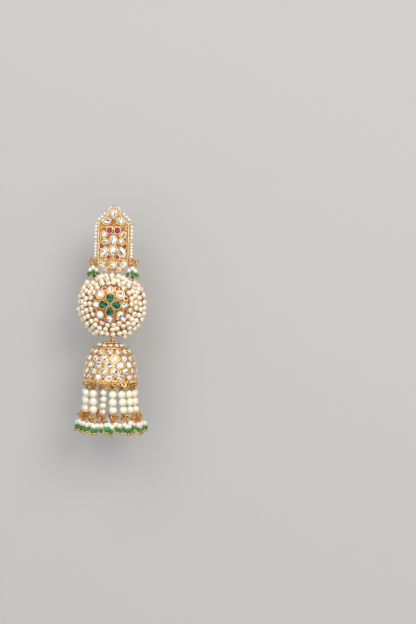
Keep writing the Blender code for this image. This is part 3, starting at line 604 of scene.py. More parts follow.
# %% Grains and the arch of the band
GRAINS = (
    # x and z, each on both sides
    (0.0, 6.5), (1.1, 5.3), (4.6, 5.0), (0.0, 4.9), (0.0, 3.1), (3.2, 3.0),
    (5.2, 2.9), (2.5, 0.2), (5.6, -1.0), (2.3, -4.3), (3.4, -4.6), (1.3, -4.4),
    (0.0, -4.3), (5.3, -2.6), (5.5, -6.2), (5.6, -9.4), (2.9, -9.6), (0.0, -9.5),
)
ARCH_HALF, ARCH_HEIGHT, ARCH_Z = 1.85, 1.7, -12.5
ARCH_DEPTH = PLATE_FRONT + 0.1
grain_spots = np.array([(side * x, PLATE_FRONT, z) for x, z in GRAINS for side in (1, -1)])
grain_seats = front_seats(grain_spots)
grains = copies(ball(1.0, 8, 5), grain_seats, 0.32 + 0.12 * draw.random(len(grain_seats)))
bend = np.linspace(0, np.pi, 15)
arch_z = ARCH_Z + ARCH_HEIGHT * np.sin(bend)
arch = np.column_stack([ARCH_HALF * np.cos(bend), np.full(15, ARCH_DEPTH), arch_z])
leg = np.array([[ARCH_HALF, ARCH_DEPTH, -15.2]])
arch = np.vstack([leg, arch, leg * [-1, 1, 1]])
dots = np.array([(x, PLATE_FRONT + 0.05, -10.5) for x in np.arange(-6.3, 6.4, 0.9)])
dot_row = copies(ball(0.36, 8, 5), front_seats(dots))
put("plate_grains", join(grains, dot_row, tube(arch, 0.28, [0, -1, 0])), cast_gold, "top", 60.0)

# %% [markdown]
# ## Prongs and seed pearls
#
# Seven prongs stand out of the edge, and strings of seed pearls run between
# them. The strings' runs are the same as in the solids: beside each edge, half a
# pearl and a small gap away, and clear of every prong.

# %% Prongs
SEED = 1.45
EDGE_GAP = 0.3
EDGE_Y = -0.9
slope = unit(np.array([-HALF_WIDTH, APEX_Z - SHOULDER_Z]))
slope_out = np.array([slope[1], -slope[0]])
shoulder = np.array([HALF_WIDTH, SHOULDER_Z])
side_middle = np.array([HALF_WIDTH, SHOULDER_Z - 0.48 * (SHOULDER_Z - FOOT_Z)])
gable_middle = shoulder + slope * np.hypot(HALF_WIDTH, APEX_Z - SHOULDER_Z) * 0.64
stations = [(np.array([0, APEX_Z - 0.3]), np.array([0.0, 1.0]))]
sideways = np.array([1.0, 0])
for side in (1, -1):
    for spot, out in ((side_middle, sideways), (shoulder, sideways), (gable_middle, slope_out)):
        stations.append((spot * [side, 1], out * [side, 1]))
PRONG_SECTION = (
    (0, 1.85), (0.3, 1.8), (0.44, 1.55), (0.3, 1.25), (0.28, 0.9), (0.42, 0.5), (0.46, -0.3), (0, -0.3),
)
PRONG = turned(PRONG_SECTION, 10)
prong_seats = [seats([spot[0], EDGE_Y, spot[1]], [out[0], 0, out[1]], [0, 1, 0]) for spot, out in stations]
put("edge_prongs", copies(PRONG, np.vstack(prong_seats), 0.85), cast_gold, "top")

# %% Seed pearls on their wires
clear_of_prong = 0.35 + EDGE_GAP
offset = SEED / 2 + EDGE_GAP
beside = np.array([offset, 0])
off_slope = slope_out * offset
up = np.array([0, 1.0])
lowest = np.array([HALF_WIDTH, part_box("edging_string_1")[0].z / MM])
apex = np.array([0, APEX_Z])
runs = (
    (lowest + beside, side_middle - up * clear_of_prong + beside),
    (side_middle + up * clear_of_prong + beside, shoulder - up * clear_of_prong + beside),
    (shoulder + slope * clear_of_prong + off_slope, gable_middle - slope * clear_of_prong + off_slope),
    (gable_middle + slope * clear_of_prong + off_slope, apex - slope * clear_of_prong + off_slope),
)
seed_spots, seed_sizes, wires = [], [], []
for side in (1, -1):
    for start, end in runs:
        length = np.linalg.norm(end - start)
        count = int(round(length / SEED))
        share = (np.arange(count) + 0.5) / count
        flat = (start + share[:, None] * (end - start)) * [side, 1]
        seed_spots.append(np.insert(flat, 1, EDGE_Y, axis=1))
        seed_sizes.append(np.full(count, min(SEED, length / count) * 0.53))
        ends = np.array([start, end]) * [side, 1]
        wires.append(tube(np.insert(ends, 1, EDGE_Y, axis=1), 0.22, [0, -1, 0]))
seeds = copies(ball(1.0, 12, 7), front_seats(np.vstack(seed_spots)), np.concatenate(seed_sizes))
seed_piece = put("seed_pearls", seeds, white_pearl, "top")
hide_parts(*(f"edging_string_{index}" for index in range(1, 9)))
put("seed_pearl_wires", join(*wires), wire_gold, "top")

# %% [markdown]
# ## Links
#
# The plate, the medallion, the small ring and the bell hang in one another. Every
# link keeps the size and the place of its solid, which come from the joints, and
# only gets a rounder section.

# %% Upper bail, jump rings and connector
HANG_Y, TOP_BAIL_Z = pivots["medallion_swing"][1:]
BAIL_HALF, BAIL_WIRE = 2.1, 0.5
JUMP_RING, JUMP_WIRE = 2.4, 0.45
EYE, EYE_WIRE = 1.7, 0.5


def bail(start_z, foot_z):
    """A square bail of wire: down from start_z on both sides, and across at foot_z."""
    corners = [(-BAIL_HALF, start_z), (-BAIL_HALF, foot_z), (BAIL_HALF, foot_z), (BAIL_HALF, start_z)]
    return wire_line(corners, BAIL_WIRE, HANG_Y)


put("top_bail", bail(BAND_FOOT_Z + 0.5, TOP_BAIL_Z), wire_gold, "top")


def link(diameter, wire, middle, hole_along):
    """A link whose hole looks along an axis."""
    across = [0, 0, 1] if hole_along[2] == 0 else [1, 0, 0]
    return copies(ring(diameter, wire, 28, 10), seats(middle, hole_along, across))


for side in ("left", "right"):
    low, high = (np.array(corner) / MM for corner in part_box(f"jump_ring_{side}"))
    jump_link = link(JUMP_RING, JUMP_WIRE, (low + high) / 2, [1, 0, 0])
    jump_piece = put(f"jump_{side}", jump_link, wire_gold, "medallion")
    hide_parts(f"jump_ring_{side}")

low, high = (np.array(corner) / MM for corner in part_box("connector_ring"))
connector = put("connector_link", link(2.3, 0.5, (low + high) / 2, [1, 0, 0]), wire_gold, "ring")
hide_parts("connector_ring")

# %% [markdown]
# ## Side drops
#
# At each end of the band hangs a knot of small gold rings with short drops: a
# white pearl, a green glass bead and a gold ball on one pin.


# %% A pinned drop and the two side groups
def drop_on_pin(top, pearl_at, direction, pearl, bead, tip):
    """Places and sizes along one pin: the pearl, the bead below it and the ball below that."""
    direction = unit(np.asarray(direction, float))
    bead_at = pearl_at + direction * (pearl + bead) * 0.48
    tip_at = bead_at + direction * (bead + tip) * 0.47
    return {"pearl": (pearl_at, pearl), "bead": (bead_at, bead), "tip": (tip_at, tip), "pin": (top, tip_at)}


def beads_of(drops, part):
    """Seats and sizes of one part of many drops."""
    spots = np.array([drop[part][0] for drop in drops])
    return upright_seats(spots), np.array([drop[part][1] for drop in drops]) / 2


def pins_of(drops):
    """The drops' pins as thin wires."""
    return join(*(tube(np.array(drop["pin"]), 0.18, [0, 1, 0.02]) for drop in drops))


BEAD = ball(1.0, 12, 8)
SIDE_Y = -0.5
SIDE_EYE, SIDE_EYE_WIRE = 2.8, 0.7
SIDE_RING, SIDE_RING_WIRE = 2.6, 0.56
SIDE_KNOT = (
    # outwards, y and z from the eye, tilt of the hole
    (0.9, -0.9, 1.2, 0.3),
    (-0.8, -1.0, 0.7, -0.4),
    (1.5, -0.7, -0.4, 0.9),
    (-1.3, -1.1, -0.5, 0.5),
    (2.0, -0.6, 0.7, -0.3),
)
SIDE_PEARLS = (
    # outwards, y and z from where the pins start
    (-1.25, -0.9, -0.3),
    (1.45, -0.7, -0.4),
    (0.1, 0.9, -0.9),
    (0.3, -1.1, 0.6),
)
side_drops, side_rings = [], []
for side in (-1, 1):
    eye_x = side * (HALF_WIDTH + SIDE_EYE / 2 + EDGE_GAP / 2)
    eye_z = FOOT_Z - 1.2
    side_rings.append(link(SIDE_EYE, SIDE_EYE_WIRE, [eye_x, SIDE_Y, eye_z], [0, 1, 0]))
    for shift_x, shift_y, shift_z, tilt in SIDE_KNOT:
        spot = [eye_x + shift_x * side, SIDE_Y + shift_y, eye_z + shift_z]
        side_rings.append(link(1.7, 0.42, spot, [tilt, 1, 0.4]))
    ring_z = eye_z - SIDE_EYE / 2 + 0.93 - SIDE_RING / 2
    side_rings.append(link(SIDE_RING, SIDE_RING_WIRE, [eye_x, SIDE_Y, ring_z], [1, 0, 0]))
    foot = np.array([eye_x, SIDE_Y, ring_z - 1.2])
    for out, depth, level in SIDE_PEARLS:
        pearl_at = foot + [out * side, depth, level]
        heading = [out * side * 0.35, depth * 0.2, -1.2]
        side_drops.append(drop_on_pin(foot, pearl_at, heading, 2.2, 1.8, 1.0))
side_gold = join(*side_rings, pins_of(side_drops), copies(BEAD, *beads_of(side_drops, "tip")))
side_piece = put("side_drop_rings", side_gold, wire_gold, "top", 60.0)
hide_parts("side_drop_left", "side_drop_right")
put("side_drop_pearls", copies(BEAD, *beads_of(side_drops, "pearl")), white_pearl, "top")
put("side_drop_beads", copies(ball(1.0, 10, 6), *beads_of(side_drops, "bead")), green_bead, "top")

# %% [markdown]
# ## The medallion's core
#
# Behind the pearls is a gold dish with a drum at its back. Its top is cut back
# behind the pearls, which leaves room for the two jump rings, and its foot is cut
# flat over the lower eye. The turned shape is cut by moving every point past a cut
# back to it.

# %% Core, bail and eye
CORE_RADIUS = 14.2
MEDALLION = np.array([0.0, -0.8, TOP_BAIL_Z + 0.9 - CORE_RADIUS])
TOP_CUT = 8.4
FOOT_CUT_HALF, FOOT_CUT_DEPTH = 2.2, 2.0
CUT_FRONT = HANG_Y - JUMP_RING / 2 - JUMP_WIRE / 2 - 0.3
CORE_SECTION = (
    # radius, distance to the front of the medallion's middle
    (0, 4.9), (5.0, 4.9), (9.6, 4.8), (11.6, 3.6), (13.4, 2.3), (13.9, 1.5), (13.9, -1.1), (12.4, -1.3),
    (8.8, -1.5), (8.6, -5.1), (8.2, -5.5), (0, -5.5),
)
core_points, core_faces = copies(turned(CORE_SECTION, 60), front_seats(MEDALLION))
ceiling = np.where(core_points[:, 1] > CUT_FRONT, MEDALLION[2] + TOP_CUT, np.inf)
core_points[:, 2] = np.minimum(core_points[:, 2], ceiling)
near_eye = np.abs(core_points[:, 0]) < FOOT_CUT_HALF
lowest_z = np.where(near_eye, MEDALLION[2] - CORE_RADIUS + FOOT_CUT_DEPTH, -np.inf)
core_points[:, 2] = np.maximum(core_points[:, 2], lowest_z)
# The core's gold is painted darker: painted shade in the gaps behind the pearls.
core_piece = put("medallion_core", (core_points, core_faces), core_gold_painted_shade, "medallion", 35.0)
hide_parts("pearl_cluster")

HOOKED = 0.775
lower_bail_z = TOP_BAIL_Z + HOOKED - JUMP_RING + HOOKED
lower_bail = bail(MEDALLION[2] + TOP_CUT - 0.5, lower_bail_z)
eye_z = pivots["ring_swing"][2] + EYE / 2
eye = link(EYE, EYE_WIRE, [0, HANG_Y, eye_z], [0, 1, 0])
COLLAR = turned([(0, 0.3), (1.3, 0.3), (1.6, 0), (1.3, -0.3), (0, -0.3)], 16)
collar = copies(COLLAR, upright_seats([0, HANG_Y, eye_z + 1.25]))
put("medallion_links", join(lower_bail, eye, collar), wire_gold, "medallion")

# %% [markdown]
# ## The field of pearls
#
# More than a hundred pearls stand round the flower, each on a pin whose end is a
# tiny gold ball. They sit in four loose rings that step back towards the edge, and
# two short rows fill the top and the shoulders. The draw moves each one a little,
# as hand wiring does. The rings are open where the side drops and the bell swing.

# %% Pearls on headpins
PEARL = 2.45
PEARL_RINGS = (
    # radius, drop, depth before the core's middle, pearls in a full ring, first in steps,
    # tilt, degrees left open at the top, degrees left open at the foot
    (9.10, -0.7, 5.00, 22, 0.5, 18, 0, 0),
    (11.00, -0.4, 4.30, 27, 0.2, 34, 0, 0),
    (12.80, -0.1, 3.10, 32, 0.5, 52, 13, 5),
    (14.25, 0.0, 0.80, 34, 0.8, 80, 50, 23),
    (13.00, 0.0, 4.00, 5, -2.0, 30, 0, 180),
    (14.50, 0.0, 4.40, 34, 0.5, 50, 40, 120),
)


def pearl_ring(radius, drop, depth, count, first, tilt_deg, open_top, open_foot):
    """One loose ring: places (r sin a, depth, r cos a) and pin directions tilted outwards.

    Angles run clockwise from the top. The short top row has its own spacing.
    """
    short = count < 9
    step = 11.5 if short else 360 / count
    angle = (np.arange(count) + first) * step
    from_top = np.abs((angle + 180) % 360 - 180)
    keep = short | (from_top >= open_top) & (from_top <= 180 - open_foot)
    angle = angle[keep] + draw.uniform(-1.6, 1.6, keep.sum())
    radial = np.stack([np.sin(np.radians(angle)), 0 * angle, np.cos(np.radians(angle))], -1)
    reach = radius + draw.uniform(-0.35, 0.30, len(angle))
    front = depth + draw.uniform(-0.35, 0.35, len(angle))
    spots = MEDALLION - [0, 0, drop] + radial * reach[:, None] - np.outer(front, [0, 1, 0])
    tilt = np.radians(tilt_deg + draw.normal(0, 9, len(angle)))[:, None]
    lean = radial * np.sin(tilt) - np.array([0, 1, 0]) * np.cos(tilt)
    return spots, unit(lean + draw.normal(0, 0.25, lean.shape))


rings = [pearl_ring(*row) for row in PEARL_RINGS]
pearl_spots = np.vstack([spots for spots, leans in rings])
pearl_leans = np.vstack([leans for spots, leans in rings])
pearl_seats = seats(pearl_spots, pearl_leans, [0, 0.1, 1])
pearl_sizes = PEARL / 2 * (0.97 + 0.06 * draw.random(len(pearl_spots)))
put("cluster_pearls", copies(ball(1.0, 16, 10), pearl_seats, pearl_sizes), cluster_pearl, "medallion")
# The pin's head on the pearl, and its shank below
PIN = join(
    turned([(0, 1.72), (0.24, 1.68), (0.38, 1.48), (0.34, 1.25), (0.56, 1.18), (0.56, 1.0), (0, 1.0)], 8),
    turned([(0, -0.9), (0.22, -0.9), (0.22, -2.4), (0, -2.4)], 6),
)
put("cluster_pins", copies(PIN, pearl_seats), cast_gold, "medallion", 60.0)
print("cluster pearls:", len(pearl_spots))

# %% [markdown]
# ## The flower
#
# Four green pear-shaped stones meet in the middle with their points. Eight clear
# petals stand round them on a sloping skirt, and small red stones fill the corners
# outside. All sit in gold rims on a turned disc.

# %% Disc and stones of the flower
FLOWER_RADIUS = 7.9
FLOWER_FRONT = 4.9 + 0.45 + 1.2
FLOWER = MEDALLION + [0, 0, 0.4]
SKIRT_SLOPE = np.radians(14.0)
SKIRT_START = 0.56 * FLOWER_RADIUS


def flower_seat(angle_deg, radius, point_out):
    """A seat on the flower: flat inside the skirt's start, and on its slope outside."""
    angle = np.radians(angle_deg)
    radial = np.array([np.sin(angle), 0, np.cos(angle)])
    slope_here = SKIRT_SLOPE if radius > SKIRT_START else 0.0
    depth = FLOWER_FRONT - max(0.0, radius - SKIRT_START) * np.tan(SKIRT_SLOPE)
    outward = radial * np.sin(slope_here) - np.array([0, np.cos(slope_here), 0])
    return seats(FLOWER + radial * radius - [0, depth, 0], outward, radial * point_out)


FLOWER_STONES = (
    # kind, colour, first angle, count, radius, point out or in, length, width, raised by
    ("pear", "green", 0.0, 4, 2.60, -1, 4.0, 3.4, 0.3),
    ("pear", "clear", 0.0, 4, 6.40, 1, 3.1, 2.9, 0.0),
    ("round", "clear", 45.0, 4, 6.15, 1, 3.2, 3.4, 0.0),
    ("triangle", "red", 22.5, 8, 7.30, -1, 1.6, 1.7, 0.0),
)
FLOWER_RISE, FLOWER_RIM, FLOWER_RIM_LIFT = 0.7, 0.42, 0.2
skirt_end = FLOWER_FRONT - (FLOWER_RADIUS - SKIRT_START) * np.tan(SKIRT_SLOPE)
disc_section = [(0, FLOWER_FRONT), (SKIRT_START, FLOWER_FRONT), (FLOWER_RADIUS - 0.3, skirt_end + 0.1)]
disc_section += [(FLOWER_RADIUS, skirt_end - 0.2), (FLOWER_RADIUS, 5.35), (0, 5.35)]
disc = copies(turned(disc_section, 48), front_seats(FLOWER))
flower_stones = {"clear": [], "red": [], "green": []}
flower_rims = []
for kind, colour, first, count, radius, point_out, length, width, raised in FLOWER_STONES:
    for index in range(count):
        seat = flower_seat(first + index * 360 / count, radius, point_out)
        seat[:, 1, 3] -= raised
        flower_stones[colour].append(copies(cut_stone(kind, length, width, FLOWER_RISE), seat))
        flower_rims.append(copies(rim(kind, length, width, FLOWER_RIM, FLOWER_RIM_LIFT), seat))
petal_grains = [flower_seat(22.5 + 45 * index, 4.5, 1) for index in range(8)]
flower_rims.append(copies(ball(0.36, 8, 5), np.vstack(petal_grains)))
# The disc's gold is painted darker: painted shade between the flower's rims.
flower_piece = put("flower_disc", disc, ground_gold_painted_shade, "medallion", 30.0)
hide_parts("flower_setting")
put("flower_rims", join(*flower_rims), cast_gold, "medallion", 60.0)
for colour, finish in (("green", green_stone), ("clear", clear_stone), ("red", red_stone)):
    put(f"flower_{colour}_stones", join(*flower_stones[colour]), finish, "medallion", 0)

# %% [markdown]
# ## The bell
#
# The bell is a thin gold shell. Its side follows a full curve, a superellipse,
# and the same formula places every stone and wire on it: one function gives the
# point and the outward direction for an angle and a height.

# %% Curve of the bell
BELL_RADIUS = 11.2
BELL_HEIGHT = 16.0
FULLNESS = 2.35
RIM_HEIGHT = 1.2
BELL_RIM_Z = pivots["bell_swing"][2] - 0.55 - BELL_HEIGHT


def bell_point(angle_deg, height, lift):
    """Point and normal: r = R (1 - (h / H) ** n) ** (1 / n) at (r sin a, -r cos a, h).

    The normal is the gradient of (r / R) ** n + (h / H) ** n. Below the rim's
    plane the bell is a plain cylinder.
    """
    angle, height = np.broadcast_arrays(np.radians(angle_deg), np.asarray(height, float))
    share = np.clip(height, 0, BELL_HEIGHT * 0.999) / BELL_HEIGHT
    radius = BELL_RADIUS * (1 - share ** FULLNESS) ** (1 / FULLNESS)
    out = (radius / BELL_RADIUS) ** (FULLNESS - 1) / BELL_RADIUS
    rise = share ** (FULLNESS - 1) / BELL_HEIGHT
    normal = unit(np.stack([np.sin(angle) * out, -np.cos(angle) * out, rise], -1))
    spot = np.stack([radius * np.sin(angle), HANG_Y - radius * np.cos(angle), BELL_RIM_Z + height], -1)
    return spot + normal * lift, normal


# %% Shell of the bell
turns = np.radians(np.linspace(6, 90, 18))


def shell_curve(radius, height):
    """The bell's section from the top down: (R sin t ** (2 / n), H cos t ** (2 / n))."""
    power = 2 / FULLNESS
    return np.stack([radius * np.sin(turns) ** power, height * np.clip(np.cos(turns), 0, 1) ** power], -1)


OUTER_RADIUS, OUTER_TOP = BELL_RADIUS - 0.3, BELL_HEIGHT - 0.2
INNER_RADIUS, INNER_TOP = BELL_RADIUS - 0.9, BELL_HEIGHT - 0.9
outer = shell_curve(OUTER_RADIUS, OUTER_TOP)
inner = shell_curve(INNER_RADIUS, INNER_TOP)[::-1]
low_rim = [(OUTER_RADIUS, -RIM_HEIGHT), (INNER_RADIUS, -RIM_HEIGHT)]
section = np.vstack([[(0, OUTER_TOP)], outer, low_rim, inner, [(0, INNER_TOP)]])
bell_shell = copies(turned(section, 72), upright_seats([0, HANG_Y, BELL_RIM_Z]))
# The shell's gold is painted darker: painted shade where it shows between the stones and the lattice.
bell_piece = put("bell_shell", bell_shell, bell_gold_painted_shade, "bell", 50.0)
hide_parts("bell_dome")

# %% [markdown]
# Five rows of fourteen stones cover the side, each row turned by half a step, so
# gold wires cross between them in a lattice of diamonds. Twelve more stones stand
# round the crown, above a thicker wire.

# %% Rows of stones
PER_ROW = 14
STEP = 360 / PER_ROW
SUNK = -0.05
ROWS = (
    # height above the rim, first angle, stone height, stone width
    (12.15, 6.0, 2.35, 2.25),
    (9.30, -6.8, 2.8, 2.9),
    (6.60, 6.0, 2.9, 3.15),
    (3.90, -6.8, 2.9, 3.25),
    (1.35, 6.0, 2.55, 3.1),
)
bell_stones, bell_rims = [], []
for height, first, tall, wide in ROWS:
    spots, normals = bell_point(first + np.arange(PER_ROW) * STEP, height, SUNK)
    row_seats = seats(spots, normals, [0, 0, 1])
    bell_stones.append(copies(cut_stone("round", tall, wide, 0.6), row_seats))
    bell_rims.append(copies(rim("diamond", tall * 1.36, wide * 1.36, 0.42, 0.25), row_seats))
    bell_rims.append(copies(rim("round", tall, wide, 0.30, 0.05, 16), row_seats))
spots, normals = bell_point(np.arange(12) * 30 + 6, 14.75, SUNK)
crown_seats = seats(spots, normals, [0, 0, 1])
bell_stones.append(copies(cut_stone("round", 2.1, 2.0, 0.5), crown_seats))
bell_rims.append(copies(rim("round", 2.1, 2.0, 0.4, 0.05, 16), crown_seats))
put("bell_stones", join(*bell_stones), clear_stone, "bell", 0)
put("bell_stone_rims", join(*bell_rims), lattice_gold, "bell", 60.0)

# %% Lattice, crown and rim wires
knot_heights = np.array([13.6] + [row[0] for row in ROWS] + [-0.4])
along_rows = np.linspace(0, len(knot_heights) - 1, 31)
wire_heights = np.interp(along_rows, np.arange(len(knot_heights)), knot_heights)
lattice = []
for index in range(PER_ROW):
    for lean in (1, -1):
        angle = -6.8 + STEP / 2 + index * STEP + lean * along_rows * STEP / 2
        path, normals = bell_point(angle, wire_heights, 0.05)
        lattice.append(tube(path, 0.2, normals, 5))
around = np.arange(72) * 5.0
ROUND_WIRES = ((13.55, 0.62, 0.1), (0.05, 0.5, 0.05), (-0.35, 0.35, 0.1), (-1.15, 0.5, 0.05))
for height, wire, lift in ROUND_WIRES:
    path, normals = bell_point(around, height, lift)
    lattice.append(tube(path, wire / 2, normals, closed=True))
for angle in np.arange(12) * 30 + 21:
    path, normals = bell_point(angle, np.linspace(15.6, 13.6, 7), 0.05)
    across = [np.cos(np.radians(angle)), np.sin(np.radians(angle)), 0.01]
    lattice.append(tube(path, 0.24, across, 5))
put("bell_lattice", join(*lattice), lattice_gold, "bell", 60.0)

# %% [markdown]
# A collar and a ring close the top. Along the rim runs a belt of gold grains, and
# under it hangs a dense row of small gold rings. The loops that carry the strands
# are among them.

# %% Top ring, grains and rim rings
bell_eye = link(EYE, EYE_WIRE, [0, HANG_Y, pivots["bell_swing"][2] + 0.8 - EYE / 2], [0, 1, 0])
cap_section = [(0, 0.25), (1.2, 0.22), (2.4, -0.05), (3.0, -0.55), (2.6, -0.7), (0, -0.7)]
cap = copies(turned(cap_section, 24), upright_seats([0, HANG_Y, BELL_RIM_Z + BELL_HEIGHT]))
spots, normals = bell_point(np.arange(20) * 18.0, 15.72, 0.1)
crown_grains = copies(ball(0.42, 8, 5), seats(spots, normals, [0, 0, 1]))
BELT = 52
spots, normals = bell_point(np.arange(BELT) * 360 / BELT, -0.75, 0.12)
belt = copies(ball(0.55, 8, 5), seats(spots, normals, [0, 0, 1]), 0.85 + 0.2 * draw.random(BELT))
put("bell_grains", join(bell_eye, cap, crown_grains, belt), cast_gold, "bell", 60.0)

FULL, THIN = 3.52, 2.7
STRANDS = (
    # angle from the front, outward flare, side lean, pearl size
    (13.6, 6.0, 3.5, FULL),
    (33.7, 6.0, 9.0, FULL),
    (55.0, 8.0, 9.0, FULL),
    (77.7, 12.0, 7.0, FULL),
    (103.0, 9.0, 5.0, FULL),
    (129.0, 7.0, 2.0, FULL),
    (156.0, 6.0, 0.0, FULL),
    (183.0, 6.0, 0.0, FULL),
    (210.0, 6.0, 0.0, FULL),
    (236.0, 6.0, 0.0, FULL),
    (266.0, 6.0, 0.0, FULL),
    (297.7, 5.5, 0.0, FULL),
    (327.0, 6.0, 1.5, FULL),
    (355.0, 6.0, -3.0, THIN),
)
LOOP, LOOP_WIRE = 1.7, 0.56
LOOP_Z = BELL_RIM_Z - RIM_HEIGHT - LOOP / 2 + 0.25
CIRCLE = BELL_RADIUS - 0.6
angles = np.radians([row[0] for row in STRANDS])
radial = np.stack([np.sin(angles), -np.cos(angles), 0 * angles], -1)
tangent = np.stack([np.cos(angles), np.sin(angles), 0 * angles], -1)
loop_seats = seats(radial * CIRCLE + [0, HANG_Y, LOOP_Z], tangent, [0, 0, 1])
loops = copies(ring(LOOP, LOOP_WIRE, 16, 6), loop_seats)
EXTRA = 60
extra = np.arange(EXTRA) * 360 / EXTRA + draw.normal(0, 1.5, EXTRA)
drop = RIM_HEIGHT + 0.5 + 0.9 * draw.random(EXTRA)
spots, normals = bell_point(extra, -drop, draw.normal(0.0, 0.25, EXTRA)[:, None])
facing = unit(normals + draw.normal(0, 0.7, (EXTRA, 3)))
rim_rings = copies(ring(1.8, 0.50, 12, 6), seats(spots, facing, [0, 0, 1]), 0.70 + 0.3 * draw.random(EXTRA))
put("rim_rings", join(loops, rim_rings), wire_gold, "bell", 60.0)

# %% [markdown]
# ## The strands
#
# A strand hangs on a ring from its loop: three ivory pearls, or four small ones on
# the thin strand, then a knot of gold rings with four pinned drops. The solids hold
# each strand's seat, so the frame here repeats their turn: round the bell, flared
# outwards and leant sideways. The pearls hang more upright than the flare.


# %% Frames of the strands
def turn_about(axis, degrees):
    """Rotation matrix about x, y or z: cos and sin in the two other axes."""
    c, s = np.cos(np.radians(degrees)), np.sin(np.radians(degrees))
    first, second = [(1, 2), (2, 0), (0, 1)]["xyz".index(axis)]
    matrix = np.eye(3)
    matrix[[first, second], [first, second]] = c
    matrix[second, first] = s
    matrix[first, second] = -s
    return matrix


SEAT_Z = LOOP_Z - LOOP / 2
EDGE_ROOM = 1.6
LEVELS = {FULL: np.linspace(-3.3, -10.15, 3), THIN: np.linspace(-2.7, -10.9, 4)}
STRING = turned([(0, -1.5), (0.26, -1.6), (0.26, -12.2), (0, -12.3)], 8)
CAP_SECTION = ((0, 0.3), (0.62, 0.22), (0.72, 0), (0.62, -0.22), (0, -0.3))
CAPS = [turned([(radius, level + rise) for radius, rise in CAP_SECTION], 10) for level in (-1.75, -11.9)]
TOP_RING = copies(ring(2.2, 0.56, 16, 6), seats([0, 0, -0.24], [0, 1, 0], [1, 0, 0]))
box_low, box_high = (np.array(corner) / MM for corner in cad_box)
strand_gold, strand_pearls, fringe = [], [], []
for angle, flare, lean, pearl in STRANDS:
    turn = turn_about("z", angle) @ turn_about("x", -flare) @ turn_about("y", -lean)
    place = turn_about("z", angle) @ np.array([0, -CIRCLE, 0]) + [0, HANG_Y, SEAT_Z]
    strand = np.column_stack([turn, place])[None]
    levels = LEVELS[pearl]
    count = len(levels)
    inwards = -levels * np.sin(np.radians(min(flare, 7.0)))
    on_string = np.column_stack([draw.normal(0, 0.08, count), inwards + draw.normal(0, 0.08, count), levels])
    pearl_at = on_string @ turn.T + place
    lean_draw = unit(np.array([0, 0, 1]) + draw.normal(0, 0.15, (count, 3)))
    strand_pearls.append(copies(ball(1.0, 20, 12), seats(pearl_at, lean_draw, [1, 0, 0]), pearl / 2))
    knots = []
    for level in (-12.9, -13.9, -14.9):
        for index in range(3):
            spot = [draw.normal(0, 0.75), draw.normal(0, 0.5), level + draw.normal(0, 0.25)]
            knots.append(copies(ring(1.7, 0.42, 12, 6), seats(spot, draw.normal(0, 1, 3), [0.1, 0.2, 1])))
    strand_gold.append(copies(join(TOP_RING, STRING, *CAPS, *knots), strand))
    for across in (-2.1, -0.7, 0.7, 2.1):
        local = np.array([across, -0.3, -16.85]) + draw.uniform(-0.7, 0.7, 3)
        heading = np.array([across * 0.12, -0.1, -1.0]) + draw.uniform(-0.15, 0.15, 3)
        start = place + turn @ np.array([across * 0.3, 0, -14.6])
        pearl_spot = np.clip(place + turn @ local, box_low + EDGE_ROOM, box_high - EDGE_ROOM)
        fringe.append(drop_on_pin(start, pearl_spot, turn @ heading, 2.5, 1.85, 1.3))
put("strand_pearls", join(*strand_pearls), ivory_pearl, "bell")
strands_piece = put("strand_rings", join(*strand_gold), wire_gold, "bell", 60.0)
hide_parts(*(f"pearl_strand_{number:02d}" for number in range(1, 15)))
fringe_gold = join(pins_of(fringe), copies(BEAD, *beads_of(fringe, "tip")))
put("fringe_tips", fringe_gold, wire_gold, "bell", 60.0)
put("fringe_pearls", copies(ball(1.0, 14, 9), *beads_of(fringe, "pearl")), white_pearl, "bell")
put("fringe_beads", copies(ball(1.0, 12, 7), *beads_of(fringe, "bead")), green_bead, "bell")

# %% [markdown]
# ## What stays as packed
#
# The hidden post has its right shape already, so it only gets the finish of plated
# wire.

# %% Ear post
post = frame["nodes"]["ear_post"]
post.data.materials.clear()
post.data.materials.append(wire_gold)
print("kept solid:", post.name)

# %% [markdown]
# ## Ground, light and camera
#
# A pale grey board stands a little behind the strands, and a floor far below them.
# The board is clear from behind, so the back of the earring can be looked at. The
# light is a soft panel from the upper right, a weaker one from the upper left, a
# broad one in front and an even pale room.

# %% Board and floor
board_finish, board_tree, board_shader = new_finish(
    "matt_paper_grey", "stage", Base_Color=paint("#C4C4C3"), Roughness=0.95
)
behind = add_node(board_tree, "NewGeometry", {}).outputs["Backfacing"]
clear = add_node(board_tree, "BsdfTransparent", {}).outputs["BSDF"]
one_sided = add_node(board_tree, "MixShader", {0: behind, 1: board_shader.outputs["BSDF"], 2: clear})
board_tree.links.new(one_sided.outputs["Shader"], board_tree.nodes["Material Output"].inputs["Surface"])


def sheet_of(name, corners):
    """A flat four-cornered sheet in metres."""
    mesh = bpy.data.meshes.new(name)
    mesh.from_pydata(corners, [], [(0, 1, 2, 3)])
    mesh.materials.append(board_finish)
    sheet = bpy.data.objects.new(name, mesh)
    bpy.context.scene.collection.objects.link(sheet)
    return sheet


WALL_Y, FLOOR_Z, REACH = 0.026, -0.35, 1.2
left_foot, right_foot = (-REACH, WALL_Y, FLOOR_Z), (REACH, WALL_Y, FLOOR_Z)
wall = sheet_of("board", [left_foot, right_foot, (REACH, WALL_Y, REACH), (-REACH, WALL_Y, REACH)])
floor = sheet_of("floor", [left_foot, (-REACH, -REACH, FLOOR_Z), (REACH, -REACH, FLOOR_Z), right_foot])


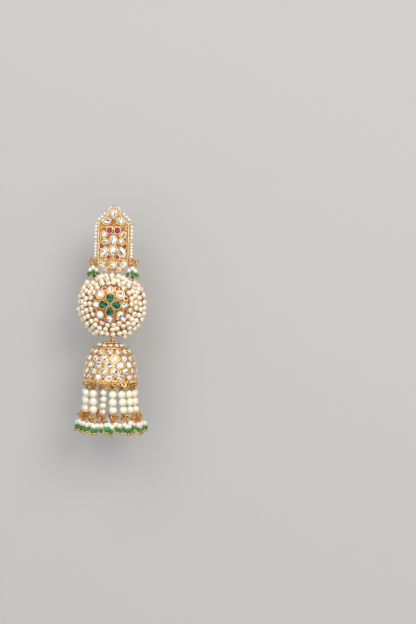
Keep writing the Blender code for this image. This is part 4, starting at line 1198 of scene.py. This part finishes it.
# %% Lights and the room
def soft_panel(name, place, aim, size, watts, hex_code):
    """A square area light at a place, looking at a point."""
    lamp = bpy.data.lights.new(name, "AREA")
    lamp.shape = "SQUARE"
    lamp.size = size
    lamp.energy = watts
    lamp.color = paint(hex_code)[:3]
    panel = bpy.data.objects.new(name, lamp)
    bpy.context.scene.collection.objects.link(panel)
    toward = unit(np.array(aim, float) - place)
    z = -toward
    x = unit(np.cross([0, 0, 1], z))
    rotation = np.column_stack([x, np.cross(z, x), z, place])
    panel.matrix_world = Matrix([*rotation.tolist(), [0, 0, 0, 1]])


MIDDLE = [0, 0, -0.036]
soft_panel("key_panel", [0.80, -1.35, 0.75], MIDDLE, 0.80, 12.0, "#FFFBF6")
soft_panel("high_panel", [-0.45, -1.35, 1.10], MIDDLE, 1.20, 6.5, "#FFFDFA")
soft_panel("front_panel", [-0.20, -2.20, 0.30], MIDDLE, 2.50, 11.0, "#FFFFFF")
room = bpy.data.worlds.new("pale_room")
room.use_nodes = True
bpy.context.scene.world = room
sky = room.node_tree.nodes["Background"]
sky.inputs["Color"].default_value = paint("#E6E6E8")
sky.inputs["Strength"].default_value = 0.66
bpy.context.scene.view_settings.view_transform = "Standard"

# %% Camera
AZIMUTH, ELEVATION, ROLL = np.radians(8.0), np.radians(2.5), np.radians(1.4)
LENS, SENSOR = 100.0, 36.0
FIELD = 0.2704
target = np.array([0.0, -0.003, -0.0329])
distance = FIELD * LENS / SENSOR
backwards = np.array([
    np.sin(AZIMUTH) * np.cos(ELEVATION), -np.cos(AZIMUTH) * np.cos(ELEVATION), np.sin(ELEVATION)
])
level = np.array([np.cos(AZIMUTH), np.sin(AZIMUTH), 0.0])
across = level * np.cos(ROLL) + np.cross(backwards, level) * np.sin(ROLL)
view = bpy.data.cameras.new("photo_view")
view.lens, view.sensor_width = LENS, SENSOR
view.shift_x = 0.155
view.clip_start, view.clip_end = 0.01, 10.0
camera = bpy.data.objects.new("photo_view", view)
bpy.context.scene.collection.objects.link(camera)
placed = np.column_stack([across, np.cross(backwards, across), backwards, target + backwards * distance])
camera.matrix_world = Matrix([*placed.tolist(), [0, 0, 0, 1]])
bpy.context.scene.camera = camera
